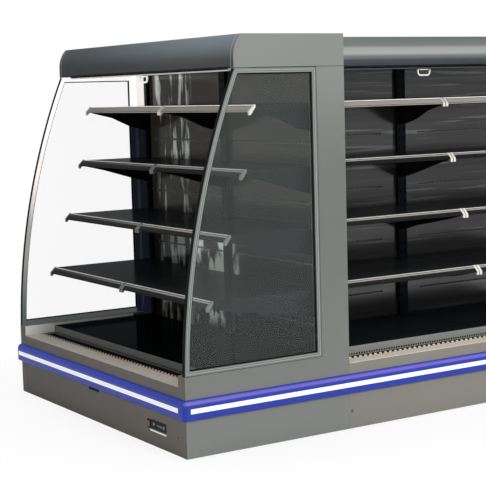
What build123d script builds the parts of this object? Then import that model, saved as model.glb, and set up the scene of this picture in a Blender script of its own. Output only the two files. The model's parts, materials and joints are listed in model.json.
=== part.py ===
"""Head end and first run of an island of open multideck display fridges.

The head faces -Y and is as wide as the island.  The run stands behind its +X half and
faces +X.  Both share one cross-section, so most pieces are made by one function for each:
depth is measured from a module's own front face, height from the floor, and the
lateral place along the module's front.  Millimetres, +Z up, origin under the middle.
"""
from build123d import *
import os
from math import sqrt
from typing import NamedTuple

# ---------------------------------------------------------------- driving dimensions
case_height = 2000.0
case_depth = 962.0
back_gap = 16.0             # between the backs of the island's two runs
bay_length = 1040.0
run_bays = 2
case_joint = 0.5            # between the head and the run

# end walls, insulated shell and air duct
side_wall = 65.0            # insulated end panel of the head
column_depth = 169.0        # rear post of the end panel, beside the glass
foam = 60.0                 # rear wall and roof
duct_gap = 35.0             # air space behind the duct panel
duct_sheet = 2.0
floor_gap = 3.0             # panels stand clear of the floor
tub_base = 100.0            # underside of the tub
tub_floor = 160.0
tub_rear_height = 300.0     # where the rear wall stands on the tub
tub_front = 60.0            # tub face behind the front panel
tub_upstand = 30.0          # carries the lip
tub_wall = 62.0             # carries the return grille

# front of the base
lip_height = 343.0
lip_depth = 106.0
lip_sheet = 2.0
panel_sheet = 2.0
panel_flange = 26.0

# return grille, deck and well
grille_clear = 1.5          # between the lip and the grille
grille_sheet = 2.0
grille_height = 331.0
grille_riser = 186.0        # depth of the upright face
grille_pitch = 410.0
grille_slot = 394.0
foot_slot_height = 9.0
deck_height = 383.0
deck_front = 190.0
deck_rim = 22.0
tray_sheet = 2.0

# shelves, from the top one down
top_clearance = 181.0       # over the top shelf
deck_clearance = 344.0      # from the deck up to the lowest shelf
top_shelf_depth = 350.0
second_shelf_depth = 410.0
third_shelf_depth = 510.0
lowest_shelf_depth = 620.0
upright_clear = 12.0        # behind the shelves
shelf_rim = 22.0
shelf_gap = 4.0             # to the bay's end, each side
rail_drop = 28.0            # the price rail leans forward as far as it drops
rail_bead = 5.0
rail_sheet = 3.0
cap_thickness = 4.0
cap_margin = 3.0
seat_gap = 0.3              # a lift-off piece over its seat

# uprights and brackets
upright_width = 30.0
upright_sheet = 2.0
upright_depth = 23.0
upright_inset = 15.5        # centre of an upright from the bay's end
slot_width = 6.0
slot_height = 26.0
slots_per_tier = 3
hook_slots = (2, 1)         # slots under a shelf that take its bracket's tab and hook
hook_drop = 26.0            # from a shelf down to the middle of its upper hook
bracket_sheet = 3.0
bracket_root = 128.0
bracket_nose = 14.0
bracket_waist = 45.0
bracket_waist_reach = 130.0
bracket_knee_reach = 115.0
bracket_knee = 98.0
hook_height = 16.0
hook_reach = 6.0
hook_lip = 8.0

# canopy, with its rounded fascia
canopy_height = 159.0
canopy_front = 319.0
fascia_square = 53.0        # upright part of the fascia
fascia_round_depth = 46.0
fascia_bulge = 13.0
canopy_sheet = 3.0
canopy_return = 33.0        # the pulled-up bar of the blind seats under it
canopy_side = 27.0
ceiling_front = 495.0
roof_clear = 45.7           # behind the blind's cradles
roof_lap = 50.0

# glass sides
glass_base = 398.0
glass_clear = 3.0           # under the canopy
glass_radius = 3900.0
glass_radius_height = 285.0
frame_thickness = 25.0
frame_width = 24.0
pane_thickness = 6.0
pane_rebate = 5.0

# bumper
bumper_base = 187.0
bumper_height = 100.0
bumper_reach = 22.0
bumper_shoulder = 29.0
bumper_foot = 13.0
strip_base = 223.0
strip_height = 24.0
strip_recess = 2.5
corner_leg_right = 38.0     # plain corner piece along the front, right corner
corner_leg_left = 5.0
corner_leg_side = 15.0

# blinds
roller_depth = 390.0
roller_drop = 95.0          # axis below the top
roller_radius = 22.0
roller_inset = 20.0
cradle_sheet = 6.0
cradle_nose = 6.0           # tip below the roller's axis
cradle_leg = 12.0
bar_depth = 346.0
bar_width = 24.0
bar_height = 14.0
bar_inset = 30.0
bail_half = 45.0
bail_drop = 43.5
bail_bow = 8.0              # width and thickness of the moulded bow
bail_corner = 22.0
bail_rod = 3.0
bail_head = 2.5             # of the legs over the rod's axis
rod_drop = 5.5              # axis under the bar
hook_width = 6.0
hook_wall = 3.0
hook_nose = 1.0             # tip over the rod's axis
head_bail_place = 0.0
run_bail_place = 810.0      # from the start of the run

# lamps and air outlet
lamp_depth = 412.0
lamp_width = 30.0
lamp_body = 24.0
lamp_bulge = 7.5
outlet_depth = 446.0
outlet_width = 46.0
outlet_height = 30.0
outlet_pitch = 460.0
outlet_slot = 440.0
outlet_bars = 3.0
duct_slot_length = 760.0
duct_slot_height = 10.0
duct_slot_drop = 200.0      # below each shelf

# evaporator and fans in the well
fan_plate_depth = 300.0
fan_plate_sheet = 3.0
fan_plate_margin = 8.35     # between a fan's opening and the plate's edges
fan_tip_clear = 4.0
fan_hub = 33.0
fan_hub_sides = 10
fan_hub_depth = 26.0
fan_clear = 0.5             # between the hub and the spider that carries its motor
blade_lead = 10.5           # middle of the blades behind the hub's front face
blade_chord = 46.0
blade_root = 32.0
blade_sink = 6.0            # into the hub
blade_nose_length = 16.0
blade_nose_width = 9.0
blade_sheet = 2.5
blade_pitch = 28.0
blade_count = 5
motor_radius = 32.0
motor_length = 46.0
spider_sheet = 3.0
spider_width = 18.0
spider_lap = 18.0           # on the plate, past each side of the opening
coil_front = 380.0
coil_clear = 65.0           # behind the coil
coil_base = 176.0
coil_top_clear = 15.0       # under the deck's rim
coil_inset = 70.0
coil_plate = 3.0
coil_fin_pitch = 130.0
coil_fin_gap = 6.0
coil_fin_depth = 10.0
bend_radius = 30.0
bend_pipe = 8.0
drain_radius = 25.0
drain_bore = 21.0
drain_outlet = 40.0
drain_flange = 64.0         # square, under the tub
drain_flange_sheet = 6.0
drain_depth = 250.0
sleeve_radius = 22.0        # one foam sleeve round the liquid and suction pipes
sleeve_sides = 8
sleeve_outlet = 60.0
sleeve_rise = 46.0          # over the tub floor
pipe_clear = 0.5

# base frame and feet
frame_tube = 38.0
frame_inset = 90.0
foot_inset = 130.0
foot_sides = 6              # for a spanner
foot_pad_radius = 28.0
foot_pad_height = 12.0
foot_stem_radius = 10.0

# controls, screws and cut-outs in the head's front panel
control_inset = 283.0       # from the right end wall
control_width = 150.0
control_base = 89.0
control_height = 46.0
control_proud = 2.0
control_rim = 3.0
control_depth = 55.0
key_width = 12.0
key_height = 16.0
key_depth = 5.0
key_proud = 1.0
key_clear = 0.5
key_edge = 14.0
rocker_gap = 6.0            # beside the controller
rocker_bezel_width = 35.0
rocker_bezel_height = 44.0
rocker_base = 87.0
rocker_bezel_wall = 4.0
rocker_bezel_depth = 30.0
rocker_side_clear = 0.5
rocker_end_clear = 3.0
rocker_front = 6.0
rocker_waist = 3.0
rocker_back_radius = 11.0   # about the pivot
rocker_pivot_depth = 4.0
vent_lead = 17.0            # starts before the controller
vent_width = 165.0
vent_base = 74.0
vent_height = 5.0
notch_left = -74.0
notch_width = 119.0
notch_height = 6.0

# where the run bolts to its neighbour
joint_bolt_radius = 5.5
joint_bolt_depth = 40.0
joint_bolt_low = 130.0
joint_bolt_drop = 30.0
joint_bolt_front = 560.0
joint_bolt_inset = 22.0

# ---------------------------------------------------------------- worked-out places
half_width = case_depth + back_gap / 2
run_length = run_bays * bay_length
overall_length = bumper_reach + case_depth + case_joint + run_length
head_front = -overall_length / 2 + bumper_reach
head_back = head_front + case_depth
seam = head_back + case_joint
run_end = seam + run_length
inner_half = half_width - side_wall
canopy_half = half_width - canopy_side
column_front = case_depth - column_depth
roof_base = case_height - foam
duct_front = case_depth - foam - duct_gap - duct_sheet
upright_front = duct_front - upright_depth
shelf_rear = upright_front - upright_clear
coil_rear = duct_front - coil_clear
canopy_base = case_height - canopy_height
glass_top = canopy_base - glass_clear
cradle_rear = roller_depth + roller_radius + seat_gap + cradle_leg
canopy_top_reach = cradle_rear + roof_clear + roof_lap
roller_height = case_height - roller_drop
shelf_depths = (top_shelf_depth, second_shelf_depth, third_shelf_depth, lowest_shelf_depth)
tier_count = len(shelf_depths)
top_tier = canopy_base - top_clearance
tier_pitch = (top_tier - deck_height - deck_clearance) / (tier_count - 1)
slot_pitch = tier_pitch / slots_per_tier
frame_top = tub_base
frame_base = tub_base - frame_tube
deck_rear = upright_front - shelf_gap
coil_top = deck_height - deck_rim - coil_top_clear
bar_base = canopy_base - seat_gap - bar_height
spider_front = fan_plate_depth - spider_sheet
fan_plate_top = deck_height - deck_rim - seat_gap
fan_height = (tub_floor + fan_plate_top) / 2
fan_opening = (fan_plate_top - tub_floor) / 2 - fan_plate_margin
fan_radius = fan_opening - fan_tip_clear
blade_reach = sqrt(fan_radius ** 2 - (blade_chord / 2) ** 2)
grille_front = lip_depth + grille_clear
control_left = inner_half - control_inset
rocker_left = control_left - rocker_gap - rocker_bezel_width
vent_left = control_left - vent_lead
ledge_height = grille_height - seat_gap


class Module(NamedTuple):
    """One case of the island: its front line, its way in, and what it spans."""

    name: str
    corner: Vector      # point of the front line where the lateral place is zero
    along: Vector
    inward: Vector
    depth: float
    start: float
    end: float
    roof_start: float
    roof_end: float
    bays: tuple
    bolts: tuple        # depth and height of the bolt bosses in its far end


head = Module(
    "head", Vector(0, head_front, 0), Vector(1, 0, 0), Vector(0, 1, 0), case_depth,
    -inner_half, inner_half, -canopy_half, canopy_half,
    ((-inner_half, 0.0), (0.0, inner_half)), ())
run = Module(
    "run", Vector(half_width, 0, 0), Vector(0, 1, 0), Vector(-1, 0, 0), case_depth,
    seam, run_end, seam, run_end,
    tuple((seam + n * bay_length, seam + (n + 1) * bay_length) for n in range(run_bays)),
    tuple((depth, height) for depth in (joint_bolt_front, case_depth - joint_bolt_inset)
          for height in (joint_bolt_low, case_height - joint_bolt_drop)))
modules = (head, run)


def section(module, place):
    """Cross-section at a lateral place: x is depth, y is height."""
    return Plane(module.corner + module.along * place, x_dir=module.inward, z_dir=module.along)


def elevation(module, depth):
    """Upright plane facing the front: x is lateral, y is height."""
    return Plane(module.corner + module.inward * depth, x_dir=module.along, z_dir=-module.inward)


def plan(module, height):
    """Level plane: x is lateral, y is depth."""
    return Plane(module.corner + Vector(0, 0, height), x_dir=module.along, z_dir=(0, 0, 1))


def rectangle(low, high):
    """Rectangle between two corners of the open sketch."""
    with Locations(((low[0] + high[0]) / 2, (low[1] + high[1]) / 2)):
        Rectangle(high[0] - low[0], high[1] - low[1])


def polygon(*points):
    """Closed outline in the open sketch."""
    Polygon(*points, align=None)


def shelf_height(tier):
    return top_tier - tier * tier_pitch


def shelf_front(tier):
    return shelf_rear - shelf_depths[tier]


def slot_centre(number):
    """Height of a slot of the uprights, counted from the one over the top shelf."""
    return top_tier - hook_drop + (1 - number) * slot_pitch


def upright_places(module):
    return [place for start, end in module.bays
            for place in (start + upright_inset, end - upright_inset)]


pieces = {}


def keep(name, builder):
    builder.part.label = name
    pieces[name] = builder.part


# ---------------------------------------------------------------- base frame and feet
foot_places = [(module, place, depth) for module in modules
               for place in (module.start + foot_inset, module.end - foot_inset)
               for depth in (frame_inset, module.depth - frame_inset)]

with BuildPart() as base_frames:
    for module in modules:
        for depth in (frame_inset, module.depth - frame_inset):
            with BuildSketch(section(module, module.start)):
                with Locations((depth, frame_top - frame_tube / 2)):
                    Rectangle(frame_tube, frame_tube)
            extrude(amount=module.end - module.start)
        with BuildSketch(elevation(module, frame_inset + frame_tube / 2)):
            for place in (module.start + foot_inset, module.end - foot_inset):
                with Locations((place, frame_top - frame_tube / 2)):
                    Rectangle(frame_tube, frame_tube)
        extrude(amount=-(module.depth - 2 * frame_inset - frame_tube))
keep("base_frames", base_frames)

with BuildPart() as levelling_feet:
    for module, place, depth in foot_places:
        with BuildSketch(plan(module, 0)):
            with Locations((place, depth)):
                RegularPolygon(foot_pad_radius, foot_sides)
        extrude(amount=foot_pad_height)
        with BuildSketch(plan(module, foot_pad_height)):
            with Locations((place, depth)):
                RegularPolygon(foot_stem_radius, foot_sides)
        extrude(amount=frame_base - foot_pad_height)
keep("levelling_feet", levelling_feet)


# ---------------------------------------------------------------- insulated shell
def drain_place(module):
    return (module.start + module.end) / 2


def sleeve_place(module):
    return module.end - coil_inset / 2


sleeve_depth = coil_rear - bend_radius


def bolt_holes(module, low, high):
    """Blind holes in the far end of the open part, for the bosses between two heights."""
    points = [point for point in module.bolts if low < point[1] < high]
    if points:
        with BuildSketch(section(module, module.end)) as holes:
            with Locations(*points):
                Circle(joint_bolt_radius)
        extrude(holes.sketch, amount=-joint_bolt_depth, mode=Mode.SUBTRACT)


def make_tub(module):
    with BuildPart() as tub:
        rear = module.depth - foam
        with BuildSketch(section(module, module.start)):
            polygon((tub_front, tub_base), (module.depth, tub_base),
                    (module.depth, tub_rear_height), (rear, tub_rear_height), (rear, tub_floor),
                    (tub_front + tub_wall, tub_floor), (tub_front + tub_wall, ledge_height),
                    (tub_front + tub_upstand, ledge_height),
                    (tub_front + tub_upstand, lip_height - lip_sheet),
                    (tub_front, lip_height - lip_sheet))
        extrude(amount=module.end - module.start)
        with BuildSketch(plan(module, tub_base)):
            with Locations((drain_place(module), drain_depth)):
                Circle(drain_bore)
            with Locations((sleeve_place(module), sleeve_depth)):
                Rectangle(2 * (sleeve_radius + pipe_clear), 2 * (sleeve_radius + pipe_clear))
        extrude(amount=tub_floor - tub_base, mode=Mode.SUBTRACT)
        bolt_holes(module, tub_base, tub_rear_height)
    return tub


head_tub = make_tub(head)
run_tub = make_tub(run)
keep("head_tub", head_tub)
keep("run_tub", run_tub)


with BuildPart() as rear_walls:
    for module in modules:
        with BuildSketch(section(module, module.start)):
            rectangle((module.depth - foam, tub_rear_height), (module.depth, roof_base))
        extrude(amount=module.end - module.start)
keep("rear_walls", rear_walls)

with BuildPart() as insulated_roofs:
    for module in modules:
        with BuildSketch(section(module, module.roof_start)):
            polygon((canopy_top_reach - roof_lap, roof_base), (module.depth, roof_base),
                    (module.depth, case_height), (canopy_top_reach, case_height),
                    (canopy_top_reach, case_height - canopy_sheet),
                    (canopy_top_reach - roof_lap, case_height - canopy_sheet))
        extrude(amount=module.roof_end - module.roof_start)
        bolt_holes(module, roof_base, case_height)
keep("insulated_roofs", insulated_roofs)


def make_duct_panel(module):
    """Back panel with an air slot in each bay under each shelf."""
    with BuildPart() as panel:
        with BuildSketch(section(module, module.start)):
            rectangle((duct_front, tub_rear_height), (duct_front + duct_sheet, canopy_base))
        extrude(amount=module.end - module.start)
        with BuildSketch(elevation(module, duct_front)):
            for start, end in module.bays:
                for tier in range(tier_count):
                    with Locations(((start + end) / 2, shelf_height(tier) - duct_slot_drop)):
                        Rectangle(duct_slot_length, duct_slot_height)
        extrude(amount=-duct_sheet, mode=Mode.SUBTRACT)
    return panel


head_duct_panel = make_duct_panel(head)
run_duct_panel = make_duct_panel(run)
keep("head_duct_panel", head_duct_panel)
keep("run_duct_panel", run_duct_panel)

with BuildPart() as ceiling_panels:
    for module in modules:
        with BuildSketch(section(module, module.roof_start)):
            rectangle((ceiling_front, canopy_base),
                      (duct_front + duct_sheet, canopy_base + duct_sheet))
        extrude(amount=module.roof_end - module.roof_start)
keep("ceiling_panels", ceiling_panels)

# ---------------------------------------------------------------- uprights and brackets
with BuildPart() as shelf_uprights:
    for module in modules:
        for place in upright_places(module):
            left = place - upright_width / 2
            right = place + upright_width / 2
            web = upright_front + upright_sheet
            with BuildSketch(plan(module, deck_height)):
                polygon((left, duct_front), (left, upright_front), (right, upright_front),
                        (right, duct_front), (right - upright_sheet, duct_front),
                        (right - upright_sheet, web), (left + upright_sheet, web),
                        (left + upright_sheet, duct_front))
            extrude(amount=canopy_base - deck_height)
            with BuildSketch(elevation(module, upright_front)):
                for tier in range(tier_count):
                    for slot in hook_slots:
                        with Locations((place, slot_centre(tier * slots_per_tier + slot))):
                            Rectangle(slot_width, slot_height)
            extrude(amount=-upright_sheet, mode=Mode.SUBTRACT)
keep("shelf_uprights", shelf_uprights)


def bracket_outline(tier):
    """Gusset under a shelf: a nose, a waist, and a deep root with a tab and a hook over it."""
    top = shelf_height(tier) - shelf_rim - seat_gap
    front = shelf_front(tier) + tray_sheet
    behind = upright_front + upright_sheet + seat_gap
    end = behind + hook_reach
    low_tab, low_hook = (slot_centre(tier * slots_per_tier + slot) - hook_height / 2
                         for slot in hook_slots)
    return [(front, top), (front, top - bracket_nose),
            (shelf_front(tier) + bracket_waist_reach, top - bracket_waist),
            (upright_front - bracket_knee_reach, top - bracket_knee),
            (upright_front, top - bracket_root),
            (upright_front, low_tab), (end, low_tab),
            (end, low_tab + hook_height), (upright_front, low_tab + hook_height),
            (upright_front, low_hook), (behind, low_hook),
            (behind, low_hook - hook_lip), (end, low_hook - hook_lip),
            (end, low_hook + hook_height), (upright_front, low_hook + hook_height),
            (upright_front, top)]


def make_brackets(module):
    with BuildPart() as brackets:
        for place in upright_places(module):
            with BuildSketch(section(module, place - bracket_sheet / 2)):
                for tier in range(tier_count):
                    polygon(*bracket_outline(tier))
            extrude(amount=bracket_sheet)
    return brackets


head_brackets = make_brackets(head)
run_brackets = make_brackets(run)
keep("head_brackets", head_brackets)
keep("run_brackets", run_brackets)


# ---------------------------------------------------------------- shelves, deck and grille
def rail_outline(front, top, margin):
    """Leaning price rail with a bead along its top edge, or its end cap with a margin."""
    return [(front, top + margin), (front - rail_bead, top + margin),
            (front - rail_bead - rail_drop - margin, top - rail_drop),
            (front - rail_bead - rail_drop - margin, top - rail_drop - rail_bead - margin),
            (front - rail_drop, top - rail_drop - rail_bead - margin),
            (front - rail_drop, top - rail_drop - rail_sheet + rail_bead),
            (front, top - rail_bead - rail_sheet)]


def make_shelf(module, tier):
    """The two trays of one tier, each with its price rail and end caps."""
    front = shelf_front(tier)
    top = shelf_height(tier)
    with BuildPart() as shelf:
        for bay_start, bay_end in module.bays:
            start = bay_start + shelf_gap
            end = bay_end - shelf_gap
            with BuildSketch(section(module, start)):
                rectangle((front, top - shelf_rim), (shelf_rear, top))
            extrude(amount=end - start)
            with BuildSketch(plan(module, top - shelf_rim)):
                rectangle((start + tray_sheet, front + tray_sheet),
                          (end - tray_sheet, shelf_rear - tray_sheet))
            extrude(amount=shelf_rim - tray_sheet, mode=Mode.SUBTRACT)
            with BuildSketch(section(module, start)):
                polygon(*rail_outline(front, top, 0))
            extrude(amount=end - start)
            with BuildSketch(section(module, start), section(module, end - cap_thickness)):
                polygon(*rail_outline(front, top, cap_margin))
            extrude(amount=cap_thickness)
    return shelf


for module in modules:
    for tier in range(tier_count):
        keep(f"{module.name}_shelf_{tier + 1}", make_shelf(module, tier))


def make_deck_tray(module, bay):
    """Lift-out tray over the fans and the coil, open underneath."""
    start = module.bays[bay][0] + shelf_gap
    end = module.bays[bay][1] - shelf_gap
    with BuildPart() as tray:
        with BuildSketch(section(module, start)):
            rectangle((deck_front, deck_height - deck_rim), (deck_rear, deck_height))
        extrude(amount=end - start)
        with BuildSketch(plan(module, deck_height - deck_rim)):
            rectangle((start + tray_sheet, deck_front + tray_sheet),
                      (end - tray_sheet, deck_rear - tray_sheet))
        extrude(amount=deck_rim - tray_sheet, mode=Mode.SUBTRACT)
    return tray


keep("head_deck_left", make_deck_tray(head, 0))
keep("head_deck_right", make_deck_tray(head, 1))
keep("run_deck_near", make_deck_tray(run, 0))
keep("run_deck_far", make_deck_tray(run, 1))


def make_return_grille(module):
    """Folded sheet that takes the air back in: a slotted floor and a slotted riser."""
    start = module.start + shelf_gap
    end = module.end - shelf_gap
    count = int((end - start) / grille_pitch)
    floor_front = tub_front + tub_wall
    floor_width = grille_riser - floor_front
    with BuildPart() as grille:
        with BuildSketch(section(module, start)):
            polygon((grille_front, grille_height), (grille_riser + grille_sheet, grille_height),
                    (grille_riser + grille_sheet, deck_height), (grille_riser, deck_height),
                    (grille_riser, grille_height + grille_sheet),
                    (grille_front, grille_height + grille_sheet))
        extrude(amount=end - start)
        with BuildSketch(plan(module, grille_height)):
            with Locations(((start + end) / 2, floor_front + floor_width / 2)):
                with GridLocations(grille_pitch, 1, count, 1):
                    Rectangle(grille_slot, floor_width - 2 * rail_bead)
        extrude(amount=grille_sheet, mode=Mode.SUBTRACT)
        with BuildSketch(elevation(module, grille_riser)):
            with Locations(((start + end) / 2, lip_height + foot_slot_height / 2)):
                with GridLocations(grille_pitch, 1, count, 1):
                    Rectangle(grille_slot, foot_slot_height)
        extrude(amount=-grille_sheet, mode=Mode.SUBTRACT)
    return grille


keep("head_return_grille", make_return_grille(head))
keep("run_return_grille", make_return_grille(run))

# ---------------------------------------------------------------- front panels and lips
with BuildPart() as front_lips:
    for module in modules:
        with BuildSketch(section(module, module.start)):
            rectangle((0, lip_height - lip_sheet), (lip_depth, lip_height))
        extrude(amount=module.end - module.start)
keep("front_lips", front_lips)


def front_panel_sheet(module):
    """Base panel folded back at its top and bottom edges."""
    top = lip_height - lip_sheet
    with BuildSketch(section(module, module.start)) as profile:
        polygon((0, floor_gap), (panel_flange, floor_gap),
                (panel_flange, floor_gap + panel_sheet),
                (panel_sheet, floor_gap + panel_sheet), (panel_sheet, top - panel_sheet),
                (panel_flange, top - panel_sheet), (panel_flange, top), (0, top))
    extrude(profile.sketch, amount=module.end - module.start)


with BuildPart() as head_front_panel:
    front_panel_sheet(head)
    with BuildSketch(elevation(head, 0)):
        rectangle((control_left + control_rim, control_base + control_rim),
                  (control_left + control_width - control_rim,
                   control_base + control_height - control_rim))
        rectangle((rocker_left + control_rim, rocker_base + control_rim),
                  (rocker_left + rocker_bezel_width - control_rim,
                   rocker_base + rocker_bezel_height - control_rim))
        rectangle((vent_left, vent_base), (vent_left + vent_width, vent_base + vent_height))
        rectangle((notch_left, bumper_base - notch_height),
                  (notch_left + notch_width, bumper_base))
    extrude(amount=-panel_sheet, mode=Mode.SUBTRACT)
keep("head_front_panel", head_front_panel)

with BuildPart() as run_front_panel:
    front_panel_sheet(run)
keep("run_front_panel", run_front_panel)


# ---------------------------------------------------------------- end panels and glass sides
def side_plane(side, inset):
    """Plane of an end of the head, x is depth and y height, facing out of that side."""
    return Plane((side * (half_width - inset), head_front, 0), x_dir=(0, 1, 0), z_dir=(1, 0, 0))


def glass_front(height, inset):
    """Depth of the bowed front edge of the glass at a height."""
    radius = glass_radius - inset
    return glass_radius - sqrt(radius ** 2 - (height - glass_radius_height) ** 2)


def glass_outline(inset):
    """Glass side with a bowed front edge, inset evenly from the frame's outside."""
    low = glass_base + inset
    high = glass_top - inset
    middle = (low + high) / 2
    rear = column_front - inset
    with BuildLine() as outline:
        ThreePointArc((glass_front(low, inset), low), (glass_front(middle, inset), middle),
                      (glass_front(high, inset), high))
        Polyline((glass_front(high, inset), high), (rear, high), (rear, low),
                 (glass_front(low, inset), low))
    make_face(outline.edges())


def make_end_panel(side):
    with BuildPart() as panel:
        with BuildSketch(side_plane(side, side_wall if side > 0 else 0)):
            polygon((0, floor_gap), (case_depth, floor_gap), (case_depth, canopy_base),
                    (column_front, canopy_base), (column_front, glass_base), (0, glass_base))
        extrude(amount=side_wall)
    return panel


def pane_plane(side):
    """Inner face of the pane, which sits in the middle of its frame."""
    groove = (frame_thickness - pane_thickness) / 2
    return side_plane(side, frame_thickness if side > 0 else 0).offset(groove)


def make_glass_frame(side):
    outer = frame_thickness if side > 0 else 0
    with BuildPart() as frame:
        with BuildSketch(side_plane(side, outer)):
            glass_outline(0)
        extrude(amount=frame_thickness)
        with BuildSketch(side_plane(side, outer)):
            glass_outline(frame_width)
        extrude(amount=frame_thickness, mode=Mode.SUBTRACT)
        with BuildSketch(pane_plane(side)):
            glass_outline(frame_width - pane_rebate)
        extrude(amount=pane_thickness, mode=Mode.SUBTRACT)
    return frame


for side_name, side in (("left", -1), ("right", 1)):
    keep(f"{side_name}_end_panel", make_end_panel(side))
    keep(f"{side_name}_glass_frame", make_glass_frame(side))

with BuildPart() as side_glasses:
    for side in (-1, 1):
        with BuildSketch(pane_plane(side)):
            glass_outline(frame_width - pane_rebate)
        extrude(amount=pane_thickness)
keep("side_glasses", side_glasses)


# ---------------------------------------------------------------- canopies
def fascia_points(inset):
    """Start, bulge and end of the fascia's round shoulder, moved in along its radius."""
    outer = (Vector(canopy_front, canopy_base + fascia_square),
             Vector(canopy_front + fascia_bulge, case_height - fascia_round_depth),
             Vector(canopy_front + fascia_round_depth, case_height))
    centre = Edge.make_three_point_arc(*outer).arc_center
    moved = [point + (centre - point).normalized() * inset for point in outer]
    return [(point.X, point.Y) for point in moved]


def make_canopy(module):
    """Rolled sheet: a short return under the canopy, the fascia and the top."""
    low = canopy_base + canopy_sheet
    outer = fascia_points(0)
    inner = fascia_points(canopy_sheet)
    lip_end = canopy_front + canopy_return
    with BuildPart() as canopy:
        with BuildSketch(section(module, module.roof_start)):
            with BuildLine():
                Polyline((lip_end, canopy_base), (canopy_front, canopy_base), outer[0])
                ThreePointArc(*outer)
                Polyline(outer[2], (canopy_top_reach, case_height),
                         (canopy_top_reach, case_height - canopy_sheet), inner[2])
                ThreePointArc(*reversed(inner))
                Polyline(inner[0], (canopy_front + canopy_sheet, low), (lip_end, low),
                         (lip_end, canopy_base))
            make_face()
        extrude(amount=module.roof_end - module.roof_start)
    return canopy


keep("head_canopy", make_canopy(head))
keep("run_canopy", make_canopy(run))

with BuildPart() as canopy_end_panels:
    for side in (-1, 1):
        with BuildSketch(side_plane(side, canopy_side if side > 0 else 0)):
            with BuildLine():
                Line((canopy_front, canopy_base), fascia_points(0)[0])
                ThreePointArc(*fascia_points(0))
                Polyline(fascia_points(0)[2], (case_depth, case_height),
                         (case_depth, canopy_base), (canopy_front, canopy_base))
            make_face()
        extrude(amount=canopy_side)
keep("canopy_end_panels", canopy_end_panels)

with BuildPart() as air_honeycombs:
    for module in modules:
        count = int((module.roof_end - module.roof_start) / outlet_pitch)
        with BuildSketch(plan(module, canopy_base)):
            rectangle((module.roof_start, outlet_depth), (module.roof_end, ceiling_front))
        extrude(amount=outlet_height)
        with BuildSketch(plan(module, canopy_base)):
            with Locations(((module.start + module.end) / 2, outlet_depth + outlet_width / 2)):
                with GridLocations(outlet_pitch, 1, count, 1):
                    Rectangle(outlet_slot, outlet_width - 2 * outlet_bars)
        extrude(amount=outlet_height, mode=Mode.SUBTRACT)
keep("air_honeycombs", air_honeycombs)

with BuildPart() as canopy_lamps:
    for module in modules:
        with BuildSketch(section(module, module.roof_start)):
            with BuildLine():
                Polyline((lamp_depth, canopy_base), (lamp_depth, canopy_base + lamp_body),
                         (outlet_depth, canopy_base + lamp_body), (outlet_depth, canopy_base),
                         (lamp_depth + lamp_width, canopy_base))
                ThreePointArc((lamp_depth + lamp_width, canopy_base),
                              (lamp_depth + lamp_width / 2, canopy_base - lamp_bulge),
                              (lamp_depth, canopy_base))
            make_face()
        extrude(amount=module.roof_end - module.roof_start)
keep("canopy_lamps", canopy_lamps)


# ---------------------------------------------------------------- night blinds
def make_roller(module):
    with BuildPart() as roller:
        with BuildSketch(section(module, module.roof_start + roller_inset)):
            with Locations((roller_depth, roller_height)):
                Circle(roller_radius)
        extrude(amount=module.roof_end - module.roof_start - 2 * roller_inset)
    return roller


keep("head_blind_roller", make_roller(head))
keep("run_blind_roller", make_roller(run))


def hook_outline(centre, radius, nose, wall, top, leg):
    """J-shaped hook round the underside of a rod, its long leg behind and up to a height."""
    depth, height = centre
    front = depth - radius - seat_gap
    rear = depth + radius + seat_gap
    low = height - radius - seat_gap
    return [(rear, top), (rear, low), (front, low), (front, nose), (front - wall, nose),
            (front - wall, low - wall), (rear + leg, low - wall), (rear + leg, top)]


with BuildPart() as blind_brackets:
    for module in modules:
        cradle = hook_outline((roller_depth, roller_height), roller_radius,
                              roller_height - cradle_nose, cradle_sheet,
                              case_height - canopy_sheet, cradle_leg)
        for place in (module.roof_start + roller_inset,
                      module.roof_end - roller_inset - cradle_sheet):
            with BuildSketch(section(module, place)):
                polygon(*cradle)
            extrude(amount=cradle_sheet)
keep("blind_brackets", blind_brackets)

rod_height = bar_base - rod_drop
bail_depth = bar_depth + bar_width / 2
bail_inside = bail_half - bail_bow


def make_blind_bar(module, bail_place):
    """Bottom bar of the blind, with two hooks that carry the rod of its pull bail."""
    start = module.start + bar_inset
    end = module.end - bar_inset
    hook = hook_outline((bail_depth, rod_height), bail_rod, rod_height + hook_nose,
                        hook_wall, bar_base, hook_wall)
    with BuildPart() as bar:
        with BuildSketch(section(module, start)):
            rectangle((bar_depth, bar_base), (bar_depth + bar_width, bar_base + bar_height))
        extrude(amount=end - start)
        for place in (bail_place - bail_inside + seat_gap,
                      bail_place + bail_inside - seat_gap - hook_width):
            with BuildSketch(section(module, place)):
                polygon(*hook)
            extrude(amount=hook_width)
    return bar


def make_bail(module, bail_place):
    """Moulded pull bow, closed at the top by the rod that it swings on."""
    top = rod_height + bail_head
    low = rod_height - bail_drop
    left = bail_place - bail_half
    right = bail_place + bail_half
    inner = low + bail_bow
    with BuildPart() as bail:
        with BuildSketch(elevation(module, bail_depth - bail_bow / 2)):
            with BuildLine():
                FilletPolyline((left, top), (left, low), (right, low), (right, top),
                               radius=bail_corner)
                Line((right, top), (right - bail_bow, top))
                FilletPolyline((right - bail_bow, top), (right - bail_bow, inner),
                               (left + bail_bow, inner), (left + bail_bow, top),
                               radius=bail_corner - bail_bow)
                Line((left + bail_bow, top), (left, top))
            make_face()
        extrude(amount=-bail_bow)
        with BuildSketch(section(module, bail_place - bail_inside)):
            with Locations((bail_depth, rod_height)):
                Circle(bail_rod)
        extrude(amount=2 * bail_inside)
    return bail


run_bail = seam + run_bail_place
keep("head_blind_bar", make_blind_bar(head, head_bail_place))
keep("run_blind_bar", make_blind_bar(run, run_bail))
keep("head_blind_bail", make_bail(head, head_bail_place))
keep("run_blind_bail", make_bail(run, run_bail))


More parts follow.
